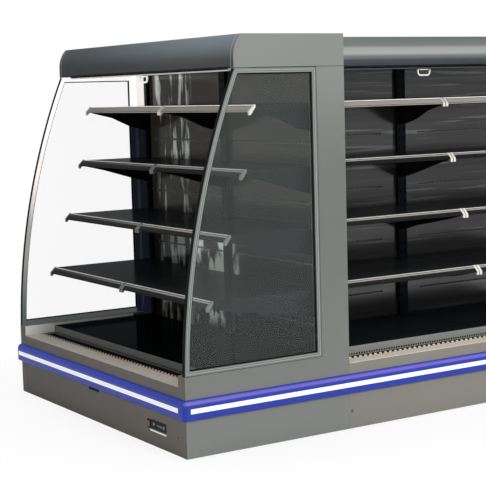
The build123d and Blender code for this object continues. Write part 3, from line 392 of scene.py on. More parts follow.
def looks(colours):
    """Colour, roughness, variation and other settings of every finish.

    A painted shade or a mask is (axis, start, end, first, last), in metres and factors; painted
    shades make a colour lighter or darker along the piece where light or shade falls. A painted
    glint is a painted reflection (colour, noise scale, threshold start, threshold end, masks),
    and a painted patch is a patch of painted highlight or of painted shade (colour, masks).
    """
    return {
        # Painted light and shade: the end panels a little lighter just above the floor, darker at
        # mid height and lightest towards the top.
        "panel_grey": (colours.panel, 0.42, 0.03, dict(
            bump=0.05, shades=((Z, 0.3, 1.0, 1.0, 0.88), (Z, 1.3, 1.9, 1.0, 1.4),
                               (Z, 0.1, 0.4, 1.18, 1.02)))),
        # The run's front panel: its own lighter, warmer colour, with painted light that brightens
        # it 1.25 to 1.3 times along the run.
        "run_base": (rgb(114, 111, 103), 0.45, 0.04, dict(
            bump=0.05, shades=((Y, -0.6, 0.0, 1.25, 1.3),))),
        # Painted light: the base panels darker towards the left end and lighter towards the
        # right, where the light falls.
        "base_brown": (colours.base, 0.45, 0.05, dict(
            bump=0.05, shades=((X, -0.9, 0.8, 0.78, 1.28),))),
        # Painted light and shade: the canopy darker towards its foot and towards the left end,
        # lighter at the top and the right.
        "fascia_slate": (colours.fascia, 0.36, 0.03, dict(
            bump=0.04, shades=((Z, 1.86, 1.965, 0.3, 1.3), (X, -0.95, 0.95, 0.38, 2.0)))),
        # Painted highlight and shade: bands up the run's canopy, dark at its foot and a light
        # band at about 1.91 to 1.94 m where the rounded fascia catches the light.
        "fascia_painted_bands": (colours.fascia, 0.34, 0.03, dict(
            scale=9, stretch=(1, 0.2, 1),
            blend=(Z, ((1.845, rgb(48, 52, 58)), (1.872, rgb(60, 64, 70)),
                       (1.893, rgb(102, 107, 108)), (1.912, rgb(152, 154, 150)),
                       (1.935, rgb(144, 147, 142)), (1.956, rgb(100, 105, 102)),
                       (1.995, rgb(86, 91, 88)))))),
        # Painted light: the head's lip darker towards its left end and the run's lips 1.4 times
        # lighter.
        "lip_beige": (colours.lip, 0.4, 0.04, dict(
            shades=((X, -0.9, 0.4, 0.8, 1.0), (Y, -0.6, -0.5, 1.0, 1.4)))),
        # Painted light: the back panels darker towards the bottom, with light horizontal streaks
        # along the brushed grain that are painted reflections, stronger higher up.
        "duct_steel": (rgb(106, 105, 104), 0.18, 0.34, dict(
            metallic=0.8, scale=2.6, stretch=(0.5, 0.5, 15), shades=((Z, 0.5, 1.4, 0.7, 1.0),),
            glints=((rgb(160, 160, 156), (1.3, 1.3, 40), 0.58, 0.66,
                     (Z, 0.5, 1.3, 0.2, 0.7)),))),
        # Painted light: the head's back panel has a painted glow, grows much darker towards the
        # bottom, and has two fields of bright painted reflections towards its left.
        "duct_mirror": (rgb(62, 60, 56), 0.16, 0.22, dict(
            metallic=0.8, glow=0.22, scale=2.6, stretch=(0.6, 0.6, 12),
            shades=((Z, 0.6, 1.4, 0.18, 1.0),),
            glints=((rgb(206, 214, 206), (17, 17, 3.2), 0.52, 0.6, (X, -0.82, -0.78),
                     (X, -0.44, -0.36, 1.0, 0.0), (Z, 0.9, 1.5, 0.25, 0.75)),
                    (rgb(200, 214, 206), (10, 10, 5), 0.48, 0.56, (X, -0.46, -0.4),
                     (X, 0.06, 0.12, 1.0, 0.0), (Z, 0.385, 0.46), (Z, 0.9, 1.0, 1.0, 0.0))))),
        "shelf_black": (rgb(24, 27, 31), 0.3, 0.08, dict(IOR=1.2)),
        "tray_dark": (rgb(40, 41, 42), 0.22, 0.1, dict(IOR=1.022)),
        # Painted light: the run's deck four times lighter than the head's.
        "deck_black": (rgb(18, 20, 22), 0.1, 0.14, dict(
            gloss_vary=0.04, IOR=1.012, shades=((Y, -0.6, -0.5, 1.0, 4.0),))),
        # Painted shade: the head's grille riser about half as bright as the run's.
        "grille_grey": (rgb(138, 140, 132), 0.45, 0.05, dict(
            IOR=1.2, shades=((Y, -0.62, -0.56, 0.5, 1.1),))),
        "frame_aluminium": (rgb(114, 118, 114), 0.34, 0.05, dict(
            metallic=0.2, scale=40, stretch=(1, 1, 0.05))),
        # Painted light and shade: a strong painted glow, dark grey low down turning to cream at
        # the top, and painted shade in dark navy at the rear by the column, below the top shelf.
        "frame_cream": (rgb(248, 244, 238), 0.4, 0.03, dict(
            glow=0.9, blend=(Z, ((0.42, rgb(74, 78, 78)), (0.9, rgb(128, 128, 124)),
                                 (1.3, rgb(214, 208, 202)), (1.75, rgb(250, 244, 238)))),
            patch=(rgb(24, 28, 33), (Y, -0.752, -0.744), (Z, 1.60, 1.64, 1.0, 0.0)))),
        "frame_ridge": (rgb(176, 180, 176), 0.3, 0.04, {}),
        # Painted highlight and shade: a lighter band on the rail's shoulder and a darker top
        # edge, and a painted violet highlight on the shoulder of the rails that face +X.
        "bumper_blue": (colours.bumper, 0.3, 0.04, dict(
            bump=0.06, grain=600, gloss_vary=0.04, IOR=1.35,
            shades=((Z, 0.258, 0.274, 1.0, 1.25), (Z, 0.276, 0.286, 1.0, 0.75)),
            patch=(rgb(128, 112, 196), (X, 0.974, 0.984), (Z, 0.26, 0.272, 0.0, 0.7),
                   (Z, 0.276, 0.286, 1.0, 0.2)))),
        # A faint painted glow brightens the white bumper strips and the controller's lower edge.
        "strip_white": (rgb(245, 245, 248), 0.3, 0.01, dict(glow=0.14)),
        "blind_white": (rgb(235, 231, 222), 0.4, 0.03, {}),
        "roller_grey": (rgb(196, 196, 190), 0.5, 0.05, {}),
        "lamp_white": (rgb(240, 242, 242), 0.3, 0.02, {}),
        "honeycomb_grey": (rgb(128, 128, 124), 0.6, 0.05, {}),
        "insulation_grey": (rgb(168, 168, 162), 0.5, 0.05, dict(bump=0.1, grain=90)),
        "galvanised": (rgb(160, 163, 166), 0.4, 0.18, dict(
            metallic=0.9, scale=55, gloss_vary=0.12)),
        "coil_aluminium": (rgb(188, 190, 192), 0.35, 0.1, dict(metallic=0.95, scale=30)),
        "pipe_copper": (rgb(58, 58, 60), 0.8, 0.1, dict(bump=0.3, grain=300)),
        "fan_black": (rgb(38, 38, 40), 0.5, 0.06, {}),
        "control_black": (rgb(12, 13, 14), 0.25, 0.05, dict(IOR=1.2)),
        "key_grey": (rgb(120, 122, 122), 0.5, 0.04, {}),
        "rocker_red": (rgb(118, 52, 42), 0.3, 0.05, {}),
        # A faint painted glow brightens the end wall linings.
        "liner_cream": (rgb(232, 230, 222), 0.4, 0.03, dict(glow=0.05)),
        "rubber_black": (rgb(9, 9, 10), 0.7, 0.08, dict(Specular_IOR_Level=0.15, bump=0.1)),
        # Painted light: the top shelf's rail beads, a glowing lit copy of the lower shelves'
        # beads; the head's pull bow and the lip's end cap take it too.
        "rail_white": (rgb(250, 249, 246), 0.28, 0.02, dict(
            Emission_Color=(1, 0.99, 0.96), Emission_Strength=0.3)),
        # Painted light: the top shelf's ticket band, a lit beige copy of the lower shelves' dark
        # band, darker towards the left.
        "rail_beige": (rgb(176, 168, 158), 0.38, 0.05, dict(
            shades=((X, -0.9, -0.2, 0.6, 1.0),))),
        "rail_bright": (rgb(214, 213, 208), 0.3, 0.05, {}),
        "rail_dark": (rgb(40, 38, 38), 0.3, 0.06, dict(IOR=1.12)),
        # Painted light: the lighter upper part of the lower shelves' tickets, fading to a tenth
        # towards the left.
        "rail_half": (rgb(150, 146, 138), 0.35, 0.08, dict(
            IOR=1.2, shades=((X, -0.9, 0.6, 0.1, 1.0),))),
        "cap_cream": (rgb(234, 228, 218), 0.35, 0.03, {}),
        "cap_grey": (rgb(118, 122, 120), 0.4, 0.05, dict(IOR=1.2)),
        "bar_grey": (rgb(70, 72, 72), 0.45, 0.05, {}),
        "glow_green": (rgb(20, 90, 50), 0.3, 0.02, dict(
            Emission_Color=(0.05, 0.8, 0.25), Emission_Strength=0.7)),
        "screw_steel": (rgb(96, 96, 94), 0.3, 0.5, dict(metallic=0.9, scale=200)),
        "clear_glass": (rgb(186, 192, 188), 0.04, 0.02, dict(
            gloss_vary=0.02, IOR=1.5, Alpha=0.042)),
    }


# ---- settings
class FridgeColours(bpy.types.PropertyGroup):
    """Colours that a buyer of the case could choose."""

    panel: bpy.props.FloatVectorProperty(
        name="End panels", description="Satin paint of the end panels", subtype="COLOR",
        default=rgb(112, 114, 110))
    base: bpy.props.FloatVectorProperty(
        name="Base panels", description="Satin paint of the panels by the floor", subtype="COLOR",
        default=rgb(80, 74, 66))
    fascia: bpy.props.FloatVectorProperty(
        name="Canopy", description="Satin paint of the rolled canopies", subtype="COLOR",
        default=rgb(72, 78, 81))
    bumper: bpy.props.FloatVectorProperty(
        name="Bumper", description="Moulded bumper rails and corners", subtype="COLOR",
        default=rgb(42, 60, 160))
    lip: bpy.props.FloatVectorProperty(
        name="Front lips", description="Cream paint of the lips over the base panels",
        subtype="COLOR", default=rgb(184, 174, 160))


class FridgeSizes(bpy.types.PropertyGroup):
    """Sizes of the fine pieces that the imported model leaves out."""

    comb_pitch: bpy.props.FloatProperty(
        name="Comb pitch", description="From slot to slot along the front lips",
        default=33 * MM, min=10 * MM, subtype="DISTANCE", unit="LENGTH")
    hole_pitch: bpy.props.FloatProperty(
        name="Return hole pitch", description="From hole to hole along the return grille",
        default=16.7 * MM, min=8 * MM, subtype="DISTANCE", unit="LENGTH")
    slot_pitch: bpy.props.FloatProperty(
        name="Upright slot pitch", description="From slot to slot up the shelf uprights",
        default=51.83 * MM, min=20 * MM, subtype="DISTANCE", unit="LENGTH")
    gasket: bpy.props.FloatProperty(
        name="Gasket width", description="Width of the black gaskets round the glass",
        default=6 * MM, min=1 * MM, subtype="DISTANCE", unit="LENGTH")
    joint: bpy.props.FloatProperty(
        name="Joint width", description="Width of the dark joints between the panels",
        default=2 * MM, min=0.5 * MM, subtype="DISTANCE", unit="LENGTH")


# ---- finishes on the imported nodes
class FRIDGE_OT_finishes(bpy.types.Operator):
    """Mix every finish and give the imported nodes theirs"""

    bl_idname = "fridge.finishes"
    bl_label = "Finishes"

    def execute(self, context):
        for name, (*basics, extras) in looks(context.scene.fridge_colours).items():
            finishes[name] = Finish(name, *basics, **extras).material
        record = frame["record"]
        for look in (material["slot"] for material in record["materials"]):
            dress(look, *(part["node"] for part in record["subparts"]
                          if part["material_slot"] == look))
        # Some nodes take another finish than their slot's: the run's front panel one with painted
        # light, the left glass frame the cream with painted glow and shade, the head's back panel
        # the steel with painted glow and reflections.
        for look, node in (("run_base", "run_front_panel"), ("bar_grey", "run_blind_bar"),
                           ("frame_cream", "left_glass_frame"),
                           ("duct_mirror", "head_duct_panel")):
            dress(look, node)
        return {"FINISHED"}


# ---- canopies
FASCIA_SQUARE = 53 * MM
FASCIA_ROUND = 46 * MM
FASCIA_BULGE = 13 * MM
CANOPY_SHEET = 3 * MM


def fascia_curve(inset, steps=28):
    """Arc of the rolled shoulder through its start, bulge and end, moved in by an inset."""
    start = (CANOPY_FRONT, CANOPY_BASE + FASCIA_SQUARE)
    bulge = (CANOPY_FRONT + FASCIA_BULGE, CASE_HEIGHT - FASCIA_ROUND)
    end = (CANOPY_FRONT + FASCIA_ROUND, CASE_HEIGHT)
    centre, radius = round_through(start, bulge, end)
    first, last = (np.degrees(np.arctan2(*(np.array(point) - centre)[::-1]))
                   for point in (start, end))
    return arc(centre, radius - inset, first % 360, last % 360, steps)


def canopy_outline():
    """Closed (depth, height) line of the rolled sheet: return, fascia, shoulder and top."""
    lip_end = CANOPY_FRONT + 33 * MM
    inner = CANOPY_BASE + CANOPY_SHEET
    return np.vstack((
        [(lip_end, CANOPY_BASE), (CANOPY_FRONT, CANOPY_BASE)], fascia_curve(0),
        [(CANOPY_REACH, CASE_HEIGHT), (CANOPY_REACH, CASE_HEIGHT - CANOPY_SHEET)],
        fascia_curve(CANOPY_SHEET)[::-1],
        [(CANOPY_FRONT + CANOPY_SHEET, inner), (lip_end, inner)]))


class FRIDGE_OT_canopies(bpy.types.Operator):
    """Roll the canopies and their end panels with smooth shoulders"""

    bl_idname = "fridge.canopies"
    bl_label = "Canopies"

    def execute(self, context):
        for module in MODULES:
            node = f"{module.name}_canopy"
            Shape().prism(module, canopy_outline(), *module.roof_span).piece(
                f"{module.name}_rolled_canopy",
                "fascia_slate" if module is head else "fascia_painted_bands", "fascia_slate",
                replaces=(node,), smooth=30)
            # A black strip along the foot of each fascia: a painted shadow line under the canopy.
            Shape().boxes(module, module.roof_span, (CANOPY_FRONT - 0.8 * MM, CANOPY_FRONT),
                          (CANOPY_BASE, CANOPY_BASE + 5 * MM)).piece(
                f"{module.name}_drip_edge", "rubber_black", "control_black")
        outline = np.vstack(([(CANOPY_FRONT, CANOPY_BASE)], fascia_curve(0),
                             [(CASE_DEPTH, CASE_HEIGHT), (CASE_DEPTH, CANOPY_BASE)]))
        cheek, seam_depth, seam_end = 2 * MM, 2 * MM, 3 * MM
        proud, end_gap = 0.5 * MM, 0.6 * MM
        ends, cheeks, seams = Shape(), Shape(), Shape()
        outer = fascia_curve(-proud)
        outer[:, 1] = np.minimum(outer[:, 1], CASE_HEIGHT)
        # Light seam strips at the canopy's ends: a real seam whose light colour is also a painted
        # highlight on the edge.
        seam_line = np.vstack(([(CANOPY_FRONT - proud, CANOPY_BASE)], outer,
                               fascia_curve(seam_depth)[::-1],
                               [(CANOPY_FRONT + seam_depth, CANOPY_BASE)]))
        for side in (-1, 1):
            start = side * (CANOPY_HALF + end_gap)
            seams.prism(head, seam_line, start, side * (CANOPY_HALF + seam_end))
            ends.prism(head, outline, start, side * (HALF_WIDTH - cheek))
            cheeks.prism(head, outline, side * (HALF_WIDTH - cheek), side * HALF_WIDTH)
        ends.piece("canopy_end_trims", "fascia_slate", "fascia_slate",
                   replaces=("canopy_end_panels",), smooth=30)
        seams.piece("canopy_seam_highlights", "frame_ridge", "frame_aluminium", smooth=30)
        cheeks.piece("canopy_cheeks", "panel_grey", "panel_grey", smooth=30)
        return {"FINISHED"}


# ---- bumper
BUMPER_BASE, BUMPER_TOP = (corner.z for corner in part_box("bumper_rails"))
STRIP_LOW, STRIP_HIGH = (corner.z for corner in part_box("bumper_strips"))
BUMPER_REACH = high("bumper_rails").x - HALF_WIDTH


def bumper_profile(groove):
    """(out, height) line of the rail: rounded foot, band with a groove, curved shoulder."""
    foot = 13 * MM
    shoulder = 29 * MM
    recess = 2.5 * MM
    radius = (BUMPER_REACH ** 2 + shoulder ** 2) / (2 * BUMPER_REACH)
    centre = (BUMPER_REACH - radius, BUMPER_TOP - shoulder)
    top_angle = np.degrees(np.arctan2(shoulder, -centre[0]))
    middle = [(BUMPER_REACH, STRIP_LOW), (BUMPER_REACH - recess, STRIP_LOW),
              (BUMPER_REACH - recess, STRIP_HIGH), (BUMPER_REACH, STRIP_HIGH)]
    return np.vstack((
        [(0, BUMPER_TOP), (0, BUMPER_BASE)],
        arc((BUMPER_REACH - foot, BUMPER_BASE + foot), foot, -90, 0, 10),
        middle if groove else np.empty((0, 2)),
        arc(centre, radius, 0, top_angle, 16)[:-1]))


def across(profile, corners, outs):
    """An (out, height) profile set at each corner of a path, facing its way out."""
    corners, outs = np.asarray(corners, float), np.asarray(outs, float)
    return (corners[:, None] + profile[None, :, :1] * outs[:, None]
            + profile[None, :, 1:] * UP)


class FRIDGE_OT_bumper(bpy.types.Operator):
    """Make the bumper: grooved rails, white strips and plain moulded corners"""

    bl_idname = "fridge.bumper"
    bl_label = "Bumper"

    def execute(self, context):
        legs = {1: 38 * MM, -1: 5 * MM}
        side_leg = 15 * MM
        front = [(-HALF_WIDTH + legs[-1], HEAD_FRONT, 0), (HALF_WIDTH - legs[1], HEAD_FRONT, 0)]
        lines = [(front, (0, -1, 0))]
        lines += [([(HALF_WIDTH, start, 0), (HALF_WIDTH, end, 0)], (1, 0, 0))
                  for start, end in ((HEAD_FRONT + side_leg, HEAD_BACK), (SEAM, RUN_END))]
        lines.append(([(-HALF_WIDTH, HEAD_FRONT + side_leg, 0), (-HALF_WIDTH, HEAD_BACK, 0)],
                      (-1, 0, 0)))
        strip = np.stack((BUMPER_REACH - np.array([2.5, 0.4, 0, 0.4, 2.5]) * MM,
                          [STRIP_LOW, STRIP_LOW, (STRIP_LOW + STRIP_HIGH) / 2,
                           STRIP_HIGH, STRIP_HIGH]), -1)
        rails, strips = Shape(), Shape()
        for ends, out in lines:
            rails.rings(across(bumper_profile(True), ends, [out, out]))
            strips.rings(across(strip, ends, [out, out]))
        rails.piece("bumper_extrusions", "bumper_blue", "bumper_blue",
                    replaces=("bumper_rails",), smooth=25)
        strips.piece("bumper_inserts", "strip_white", "strip_white",
                     replaces=("bumper_strips",), smooth=30)
        corners = Shape()
        for side, leg in legs.items():
            angle = np.radians(np.linspace(0, 90, 17))
            turns = np.stack((side * np.sin(angle), -np.cos(angle), 0 * angle), -1)
            places = np.tile((side * HALF_WIDTH, HEAD_FRONT, 0.0), (len(turns), 1))
            places = np.vstack((places[:1] - (side * leg, 0, 0), places,
                                places[:1] + (0, side_leg, 0)))
            turns = np.vstack((turns[:1], turns, turns[-1:]))
            corners.rings(across(bumper_profile(False), places, turns))
        corners.piece("bumper_corner_mouldings", "bumper_blue", "bumper_blue",
                      replaces=("bumper_corners",), smooth=25, weld=True)
        return {"FINISHED"}


# ---- glass sides
def glass_line(inset, steps=40):
    """Closed (depth, height) line of the glass side: a bowed front and three straight sides."""
    radius = 3900 * MM
    middle_height = 285 * MM
    base, top, rear = GLASS_BASE + inset, GLASS_TOP - inset, COLUMN_FRONT - inset
    height = np.linspace(base, top, steps)
    depth = radius - np.sqrt((radius - inset) ** 2 - (height - middle_height) ** 2)
    return np.vstack((np.stack((depth, height), -1), [(rear, top), (rear, base)]))


def band(shape, side, inset, width, low_out, high_out):
    """A flat band that follows the glass line, between two distances in from the side."""
    outer, inner = glass_line(inset), glass_line(inset + width)
    corners = [(outer, low_out), (outer, high_out), (inner, high_out), (inner, low_out)]
    rings = np.stack([head.at(side * (HALF_WIDTH - reach), line[:, 0], line[:, 1])
                      for line, reach in corners], 1)
    shape.loop(rings)


class FRIDGE_OT_glazing(bpy.types.Operator):
    """Add the gaskets, edge trim and panel joints round the glass sides"""

    bl_idname = "fridge.glazing"
    bl_label = "Glazing"

    def execute(self, context):
        sizes = context.scene.fridge_sizes
        frame_width, frame_thick = 24 * MM, 25 * MM
        edge_gap, edge_out, edge_in = 1.5 * MM, -1.2 * MM, 0.4 * MM
        gaskets, joints, ridges = Shape(), Shape(), Shape()
        for side in (-1, 1):
            for pane_face in (7 * MM, 15.8 * MM):
                band(gaskets, side, frame_width, sizes.gasket, pane_face, pane_face + 2.2 * MM)
            for inset, width in ((9 * MM, 2.4 * MM), (19 * MM, 1.6 * MM)):
                band(ridges, side, inset, width, -0.7 * MM, 0.6 * MM)
            line = glass_line(0)[:-2]
            gaskets.rings(np.stack([
                head.at(side * (HALF_WIDTH - reach), line[:, 0] + depth, line[:, 1])
                for reach, depth in ((edge_gap, edge_out), (frame_thick, edge_out),
                                     (frame_thick, edge_in), (edge_gap, edge_in))], 1))
            lateral = sorted((side * (HALF_WIDTH + 0.3 * MM), side * (HALF_WIDTH - 2 * MM)))
            half = sizes.joint / 2
            joints.boxes(head, lateral, (0.0, COLUMN_FRONT),
                         (GLASS_BASE - half, GLASS_BASE + half))
            joints.boxes(head, lateral, (COLUMN_FRONT - half, COLUMN_FRONT + half),
                         (GLASS_BASE, CANOPY_BASE))
            joints.boxes(head, lateral, (CANOPY_FRONT, CASE_DEPTH),
                         (CANOPY_BASE - 1.6 * MM, CANOPY_BASE + 0.4 * MM))
        gaskets.piece("glass_gaskets", "rubber_black", "control_black")
        joints.piece("panel_joints", "rubber_black", "control_black")
        ridges.piece("frame_ridges", "frame_ridge", "frame_aluminium")
        return {"FINISHED"}


# ---- linings
class FRIDGE_OT_linings(bpy.types.Operator):
    """Line the inside of the end walls and columns with sheet, and cover their front edges"""

    bl_idname = "fridge.linings"
    bl_label = "End wall linings"

    def execute(self, context):
        sheet = 0.8 * MM
        linings, covers = Shape(), Shape()
        columns = {-1: Shape(), 1: Shape()}
        for side, column in columns.items():
            lateral = sorted((side * INNER_HALF, side * (INNER_HALF - sheet)))
            linings.boxes(head, lateral, (2 * MM, 0.9 * COLUMN_FRONT),
                          (LIP_HEIGHT, GLASS_BASE - MM))
            column.boxes(head, lateral, (COLUMN_FRONT + MM, DUCT_FRONT - MM),
                         (DECK_HEIGHT, CANOPY_BASE - MM))
            column.boxes(head, sorted((side * INNER_HALF, side * (HALF_WIDTH - 26 * MM))),
                         (COLUMN_FRONT - sheet, COLUMN_FRONT), (GLASS_BASE, CANOPY_BASE - MM))
            covers.boxes(head, sorted((side * INNER_HALF, side * (HALF_WIDTH - 0.4 * MM))),
                         (-0.6 * MM, 0.0), (PANEL_BASE, GLASS_BASE - MM))
        # The end wall linings take a faint painted glow; the left column's lining the cream with
        # a strong painted glow and painted shade.
        linings.piece("end_wall_linings", "liner_cream", "lip_beige")
        columns[-1].piece("column_linings", "frame_cream", "lip_beige")
        columns[1].piece("column_lining_right", "panel_grey", "lip_beige")
        covers.piece("front_edge_covers", "base_brown", "base_brown")
        return {"FINISHED"}


# ---- price rails
RAIL_BEAD = 5 * MM
RAIL_DROP = 28 * MM
SHELF_RIM = 3 * MM


class FRIDGE_OT_price_rails(bpy.types.Operator):
    """Clip a ticket rail with end caps to every shelf"""

    bl_idname = "fridge.price_rails"
    bl_label = "Price rails"

    def execute(self, context):
        for module in MODULES:
            for tier in TIERS:
                self.make(module, tier)
        return {"FINISHED"}

    @staticmethod
    def make(module, tier):
        shelf = f"{module.name}_shelf_{tier}"
        cap_reach, cap, skin = 36 * MM, 18 * MM, 0.8 * MM
        front = min(module.place(corner)[1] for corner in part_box(shelf)) + cap_reach
        top = high(shelf).z - SHELF_RIM
        start = np.array([front - RAIL_BEAD, top])
        slope = np.array([-RAIL_DROP, -RAIL_DROP])
        normal = np.array([-1.0, 1.0]) / np.sqrt(2)

        def sheet_on_slope(end_share, thickness):
            upper, lower = start + slope * 0.16, start + slope * end_share
            out = normal * thickness
            return np.array([upper, lower, lower + out, upper + out])

        bead = arc(start + (0.6 * MM, 0), 2.6 * MM, 0, 330, 12)
        foot = arc(start + slope + (0.8 * MM, -2.2 * MM), 2.4 * MM, 0, 330, 12)
        toe, low_edge = front - RAIL_BEAD - RAIL_DROP - 3.8 * MM, top - RAIL_DROP
        side_plate = np.array([(front + 0.5 * MM, top + 4 * MM),
                               (front - RAIL_BEAD - MM, top + 4 * MM), (toe, low_edge + MM),
                               (toe, low_edge - 19 * MM), (toe + 9 * MM, low_edge - 19 * MM),
                               (front + 0.5 * MM, top - 9 * MM)])
        beads, ticket, ticket_painted_light, caps = Shape(), Shape(), Shape(), Shape()
        for bay_start, bay_end in module.bays:
            span = (bay_start + 8.2 * MM, bay_end - 8.2 * MM)
            beads.prism(module, bead, *span)
            ticket.prism(module, foot, *span)
            ticket.prism(module, sheet_on_slope(0.92, skin), *span)
            ticket_painted_light.prism(module, sheet_on_slope(0.4, 1.5 * skin), *span)
            caps.prism(module, side_plate, bay_start + 3.7 * MM, bay_start + cap)
            caps.prism(module, side_plate, bay_end - cap, bay_end - 3.7 * MM)
        # Painted light: the top shelf's rail takes glowing beads and a beige ticket band, the
        # lower shelves' rails bright beads, a dark band and a lighter sheet over its upper part;
        # caps are cream on the top shelf and the run and grey on the head's lower shelves, lit
        # and shaded copies.
        lowest = tier == 1
        beads.piece(f"{shelf}_rail_beads", "rail_white" if lowest else "rail_bright",
                    "blind_white", shelf)
        ticket.piece(f"{shelf}_ticket_band", "rail_beige" if lowest else "rail_dark",
                   "lip_beige", shelf)
        if not lowest:
            ticket_painted_light.piece(f"{shelf}_ticket_top", "rail_half", "lip_beige", shelf)
        caps.piece(f"{shelf}_end_caps", "cap_cream" if lowest or module is run else "cap_grey",
                   "blind_white", shelf, bevel=0.6 * MM)


# ---- lips and grilles
class FRIDGE_OT_lips(bpy.types.Operator):
    """Press the front lips with their fine rear combs"""

    bl_idname = "fridge.lips"
    bl_label = "Front lips"

    def execute(self, context):
        pitch = context.scene.fridge_sizes.comb_pitch
        sheet, reach, comb, slot, tooth = 2 * MM, 106 * MM, 12 * MM, 17 * MM, 5.5 * MM
        lips, shadows = Shape(), Shape()
        nose = np.vstack((arc((2 * MM, LIP_HEIGHT - 2 * MM), 2 * MM, 180, 90, 6),
                          [(reach - comb, LIP_HEIGHT), (reach - comb, LIP_HEIGHT - sheet),
                           (0, LIP_HEIGHT - sheet)]))
        for module in MODULES:
            lips.prism(module, nose, *module.span)
            teeth = bar_row(*module.span, pitch, slot)
            lips.boxes(module, teeth, (reach - comb, reach), (LIP_HEIGHT - sheet, LIP_HEIGHT))
            lips.boxes(module, teeth, (reach - sheet, reach), (LIP_HEIGHT, LIP_HEIGHT + tooth))
            # A black strip just under the comb: painted shadow seen through the slots between the
            # teeth.
            shadows.boxes(module, module.span, (reach - comb - MM, reach),
                          (LIP_HEIGHT - 2 * sheet, LIP_HEIGHT - 1.5 * sheet))
        lips.piece("front_lip_combs", "lip_beige", "lip_beige", replaces=("front_lips",))
        shadows.piece("front_lip_painted_shadows", "rubber_black", "control_black")
        # The end cap takes the rail beads' finish with its painted glow.
        Shape().boxes(head, (INNER_HALF - 7 * MM, INNER_HALF - MM), (62 * MM, reach),
                      (LIP_HEIGHT - MM, LIP_HEIGHT + 2.5 * MM)).piece(
            "lip_end_cap", "rail_white", "strip_white", bevel=0.5 * MM)
        return {"FINISHED"}


class FRIDGE_OT_return_grilles(bpy.types.Operator):
    """Punch the return grilles with their rows of square holes"""

    bl_idname = "fridge.return_grilles"
    bl_label = "Return grilles"

    def execute(self, context):
        pitch = context.scene.fridge_sizes.hole_pitch
        sheet, hole, end_gap, sill = 2 * MM, 10 * MM, 4 * MM, 6 * MM
        front, floor_rear, slot_end, riser = 107.5 * MM, 127 * MM, 178 * MM, 186 * MM
        base = 331 * MM
        foot = base + sill
        floor, face = (base, base + sheet), (riser, riser + sheet)
        for module in MODULES:
            node = f"{module.name}_return_grille"
            span = (module.span[0] + end_gap, module.span[1] - end_gap)
            bars = bar_row(*span, pitch, hole)
            grille, tray = Shape(), Shape()
            grille.boxes(module, span, face, (base, foot))
            grille.boxes(module, span, face, (foot + hole, DECK_HEIGHT))
            grille.boxes(module, bars, face, (foot, foot + hole))
            grille.boxes(module, span, (front, front + 10 * MM),
                         (base + sheet, base + 2 * sheet))
            tray.boxes(module, span, (front, floor_rear), floor)
            # A black sheet just behind the riser: painted shade seen through its holes.
            tray.boxes(module, span, (riser + sheet, riser + 1.5 * sheet),
                       (base, foot + hole + sheet))
            tray.boxes(module, span, (slot_end, riser), floor)
            tray.boxes(module, bars, (floor_rear, slot_end), floor)
            grille.piece(f"{node}_riser", "grille_grey", "grille_grey", node, replaces=(node,))
            tray.piece(f"{node}_floor", "rubber_black", "control_black", node)
        return {"FINISHED"}


# ---- uprights and back panels
class FRIDGE_OT_uprights(bpy.types.Operator):
    """Slot the shelf uprights from top to bottom"""

    bl_idname = "fridge.uprights"
    bl_label = "Uprights"

    def execute(self, context):
        pitch = context.scene.fridge_sizes.slot_pitch
        front, rear = DUCT_FRONT - 23 * MM, DUCT_FRONT
        base, top = DECK_HEIGHT, CANOPY_BASE
        sheet, half, slot_half, slot_tall = 2 * MM, 15 * MM, 3 * MM, 26 * MM
        bay_gap = 15.5 * MM
        hook = high("head_shelf_1").z - SHELF_RIM - slot_tall
        rows = hook + pitch * np.arange(-40, 4)
        rows = rows[(rows > base + slot_tall) & (rows < top - slot_tall)]
        edges = np.concatenate(([base], np.repeat(rows, 2)
                                + np.tile((-slot_tall / 2, slot_tall / 2), len(rows)), [top]))
        webs = (edges[0::2], edges[1::2])
        uprights = Shape()
        places = ((module, place) for module in MODULES for bay_start, bay_end in module.bays
                  for place in (bay_start + bay_gap, bay_end - bay_gap))
        for module, place in places:
            for side in (-1, 1):
                outer = sorted((place + side * half, place + side * (half - sheet)))
                uprights.boxes(module, outer, (front, rear), (base, top))
                inner = sorted((place + side * (half - sheet), place + side * slot_half))
                uprights.boxes(module, inner, (front, front + sheet), (base, top))
            uprights.boxes(module, (place - slot_half, place + slot_half),
                           (front, front + sheet), webs)
        uprights.piece("slotted_uprights", "shelf_black", "shelf_black",
                       replaces=("shelf_uprights",))
        return {"FINISHED"}


class FRIDGE_OT_back_panels(bpy.types.Operator):
    """Bridge the air slots of the back panels with fine bars"""

    bl_idname = "fridge.back_panels"
    bl_label = "Back panel slots"

    def execute(self, context):
        slot_drop, slot_half, reach = 200 * MM, 5 * MM, 380 * MM
        pitch, bar = 33 * MM, 9 * MM
        for module in MODULES:
            bars = Shape()
            for tier in TIERS:
                height = high(f"{module.name}_shelf_{tier}").z - SHELF_RIM - slot_drop
                for bay_start, bay_end in module.bays:
                    middle = (bay_start + bay_end) / 2
                    bars.boxes(module, bar_row(middle - reach, middle + reach, pitch, width=bar),
                               (DUCT_FRONT - 0.4 * MM, DUCT_FRONT + 1.5 * MM),
                               (height - slot_half, height + slot_half))
            bars.piece(f"{module.name}_slot_bars", "key_grey", "duct_steel")
        return {"FINISHED"}


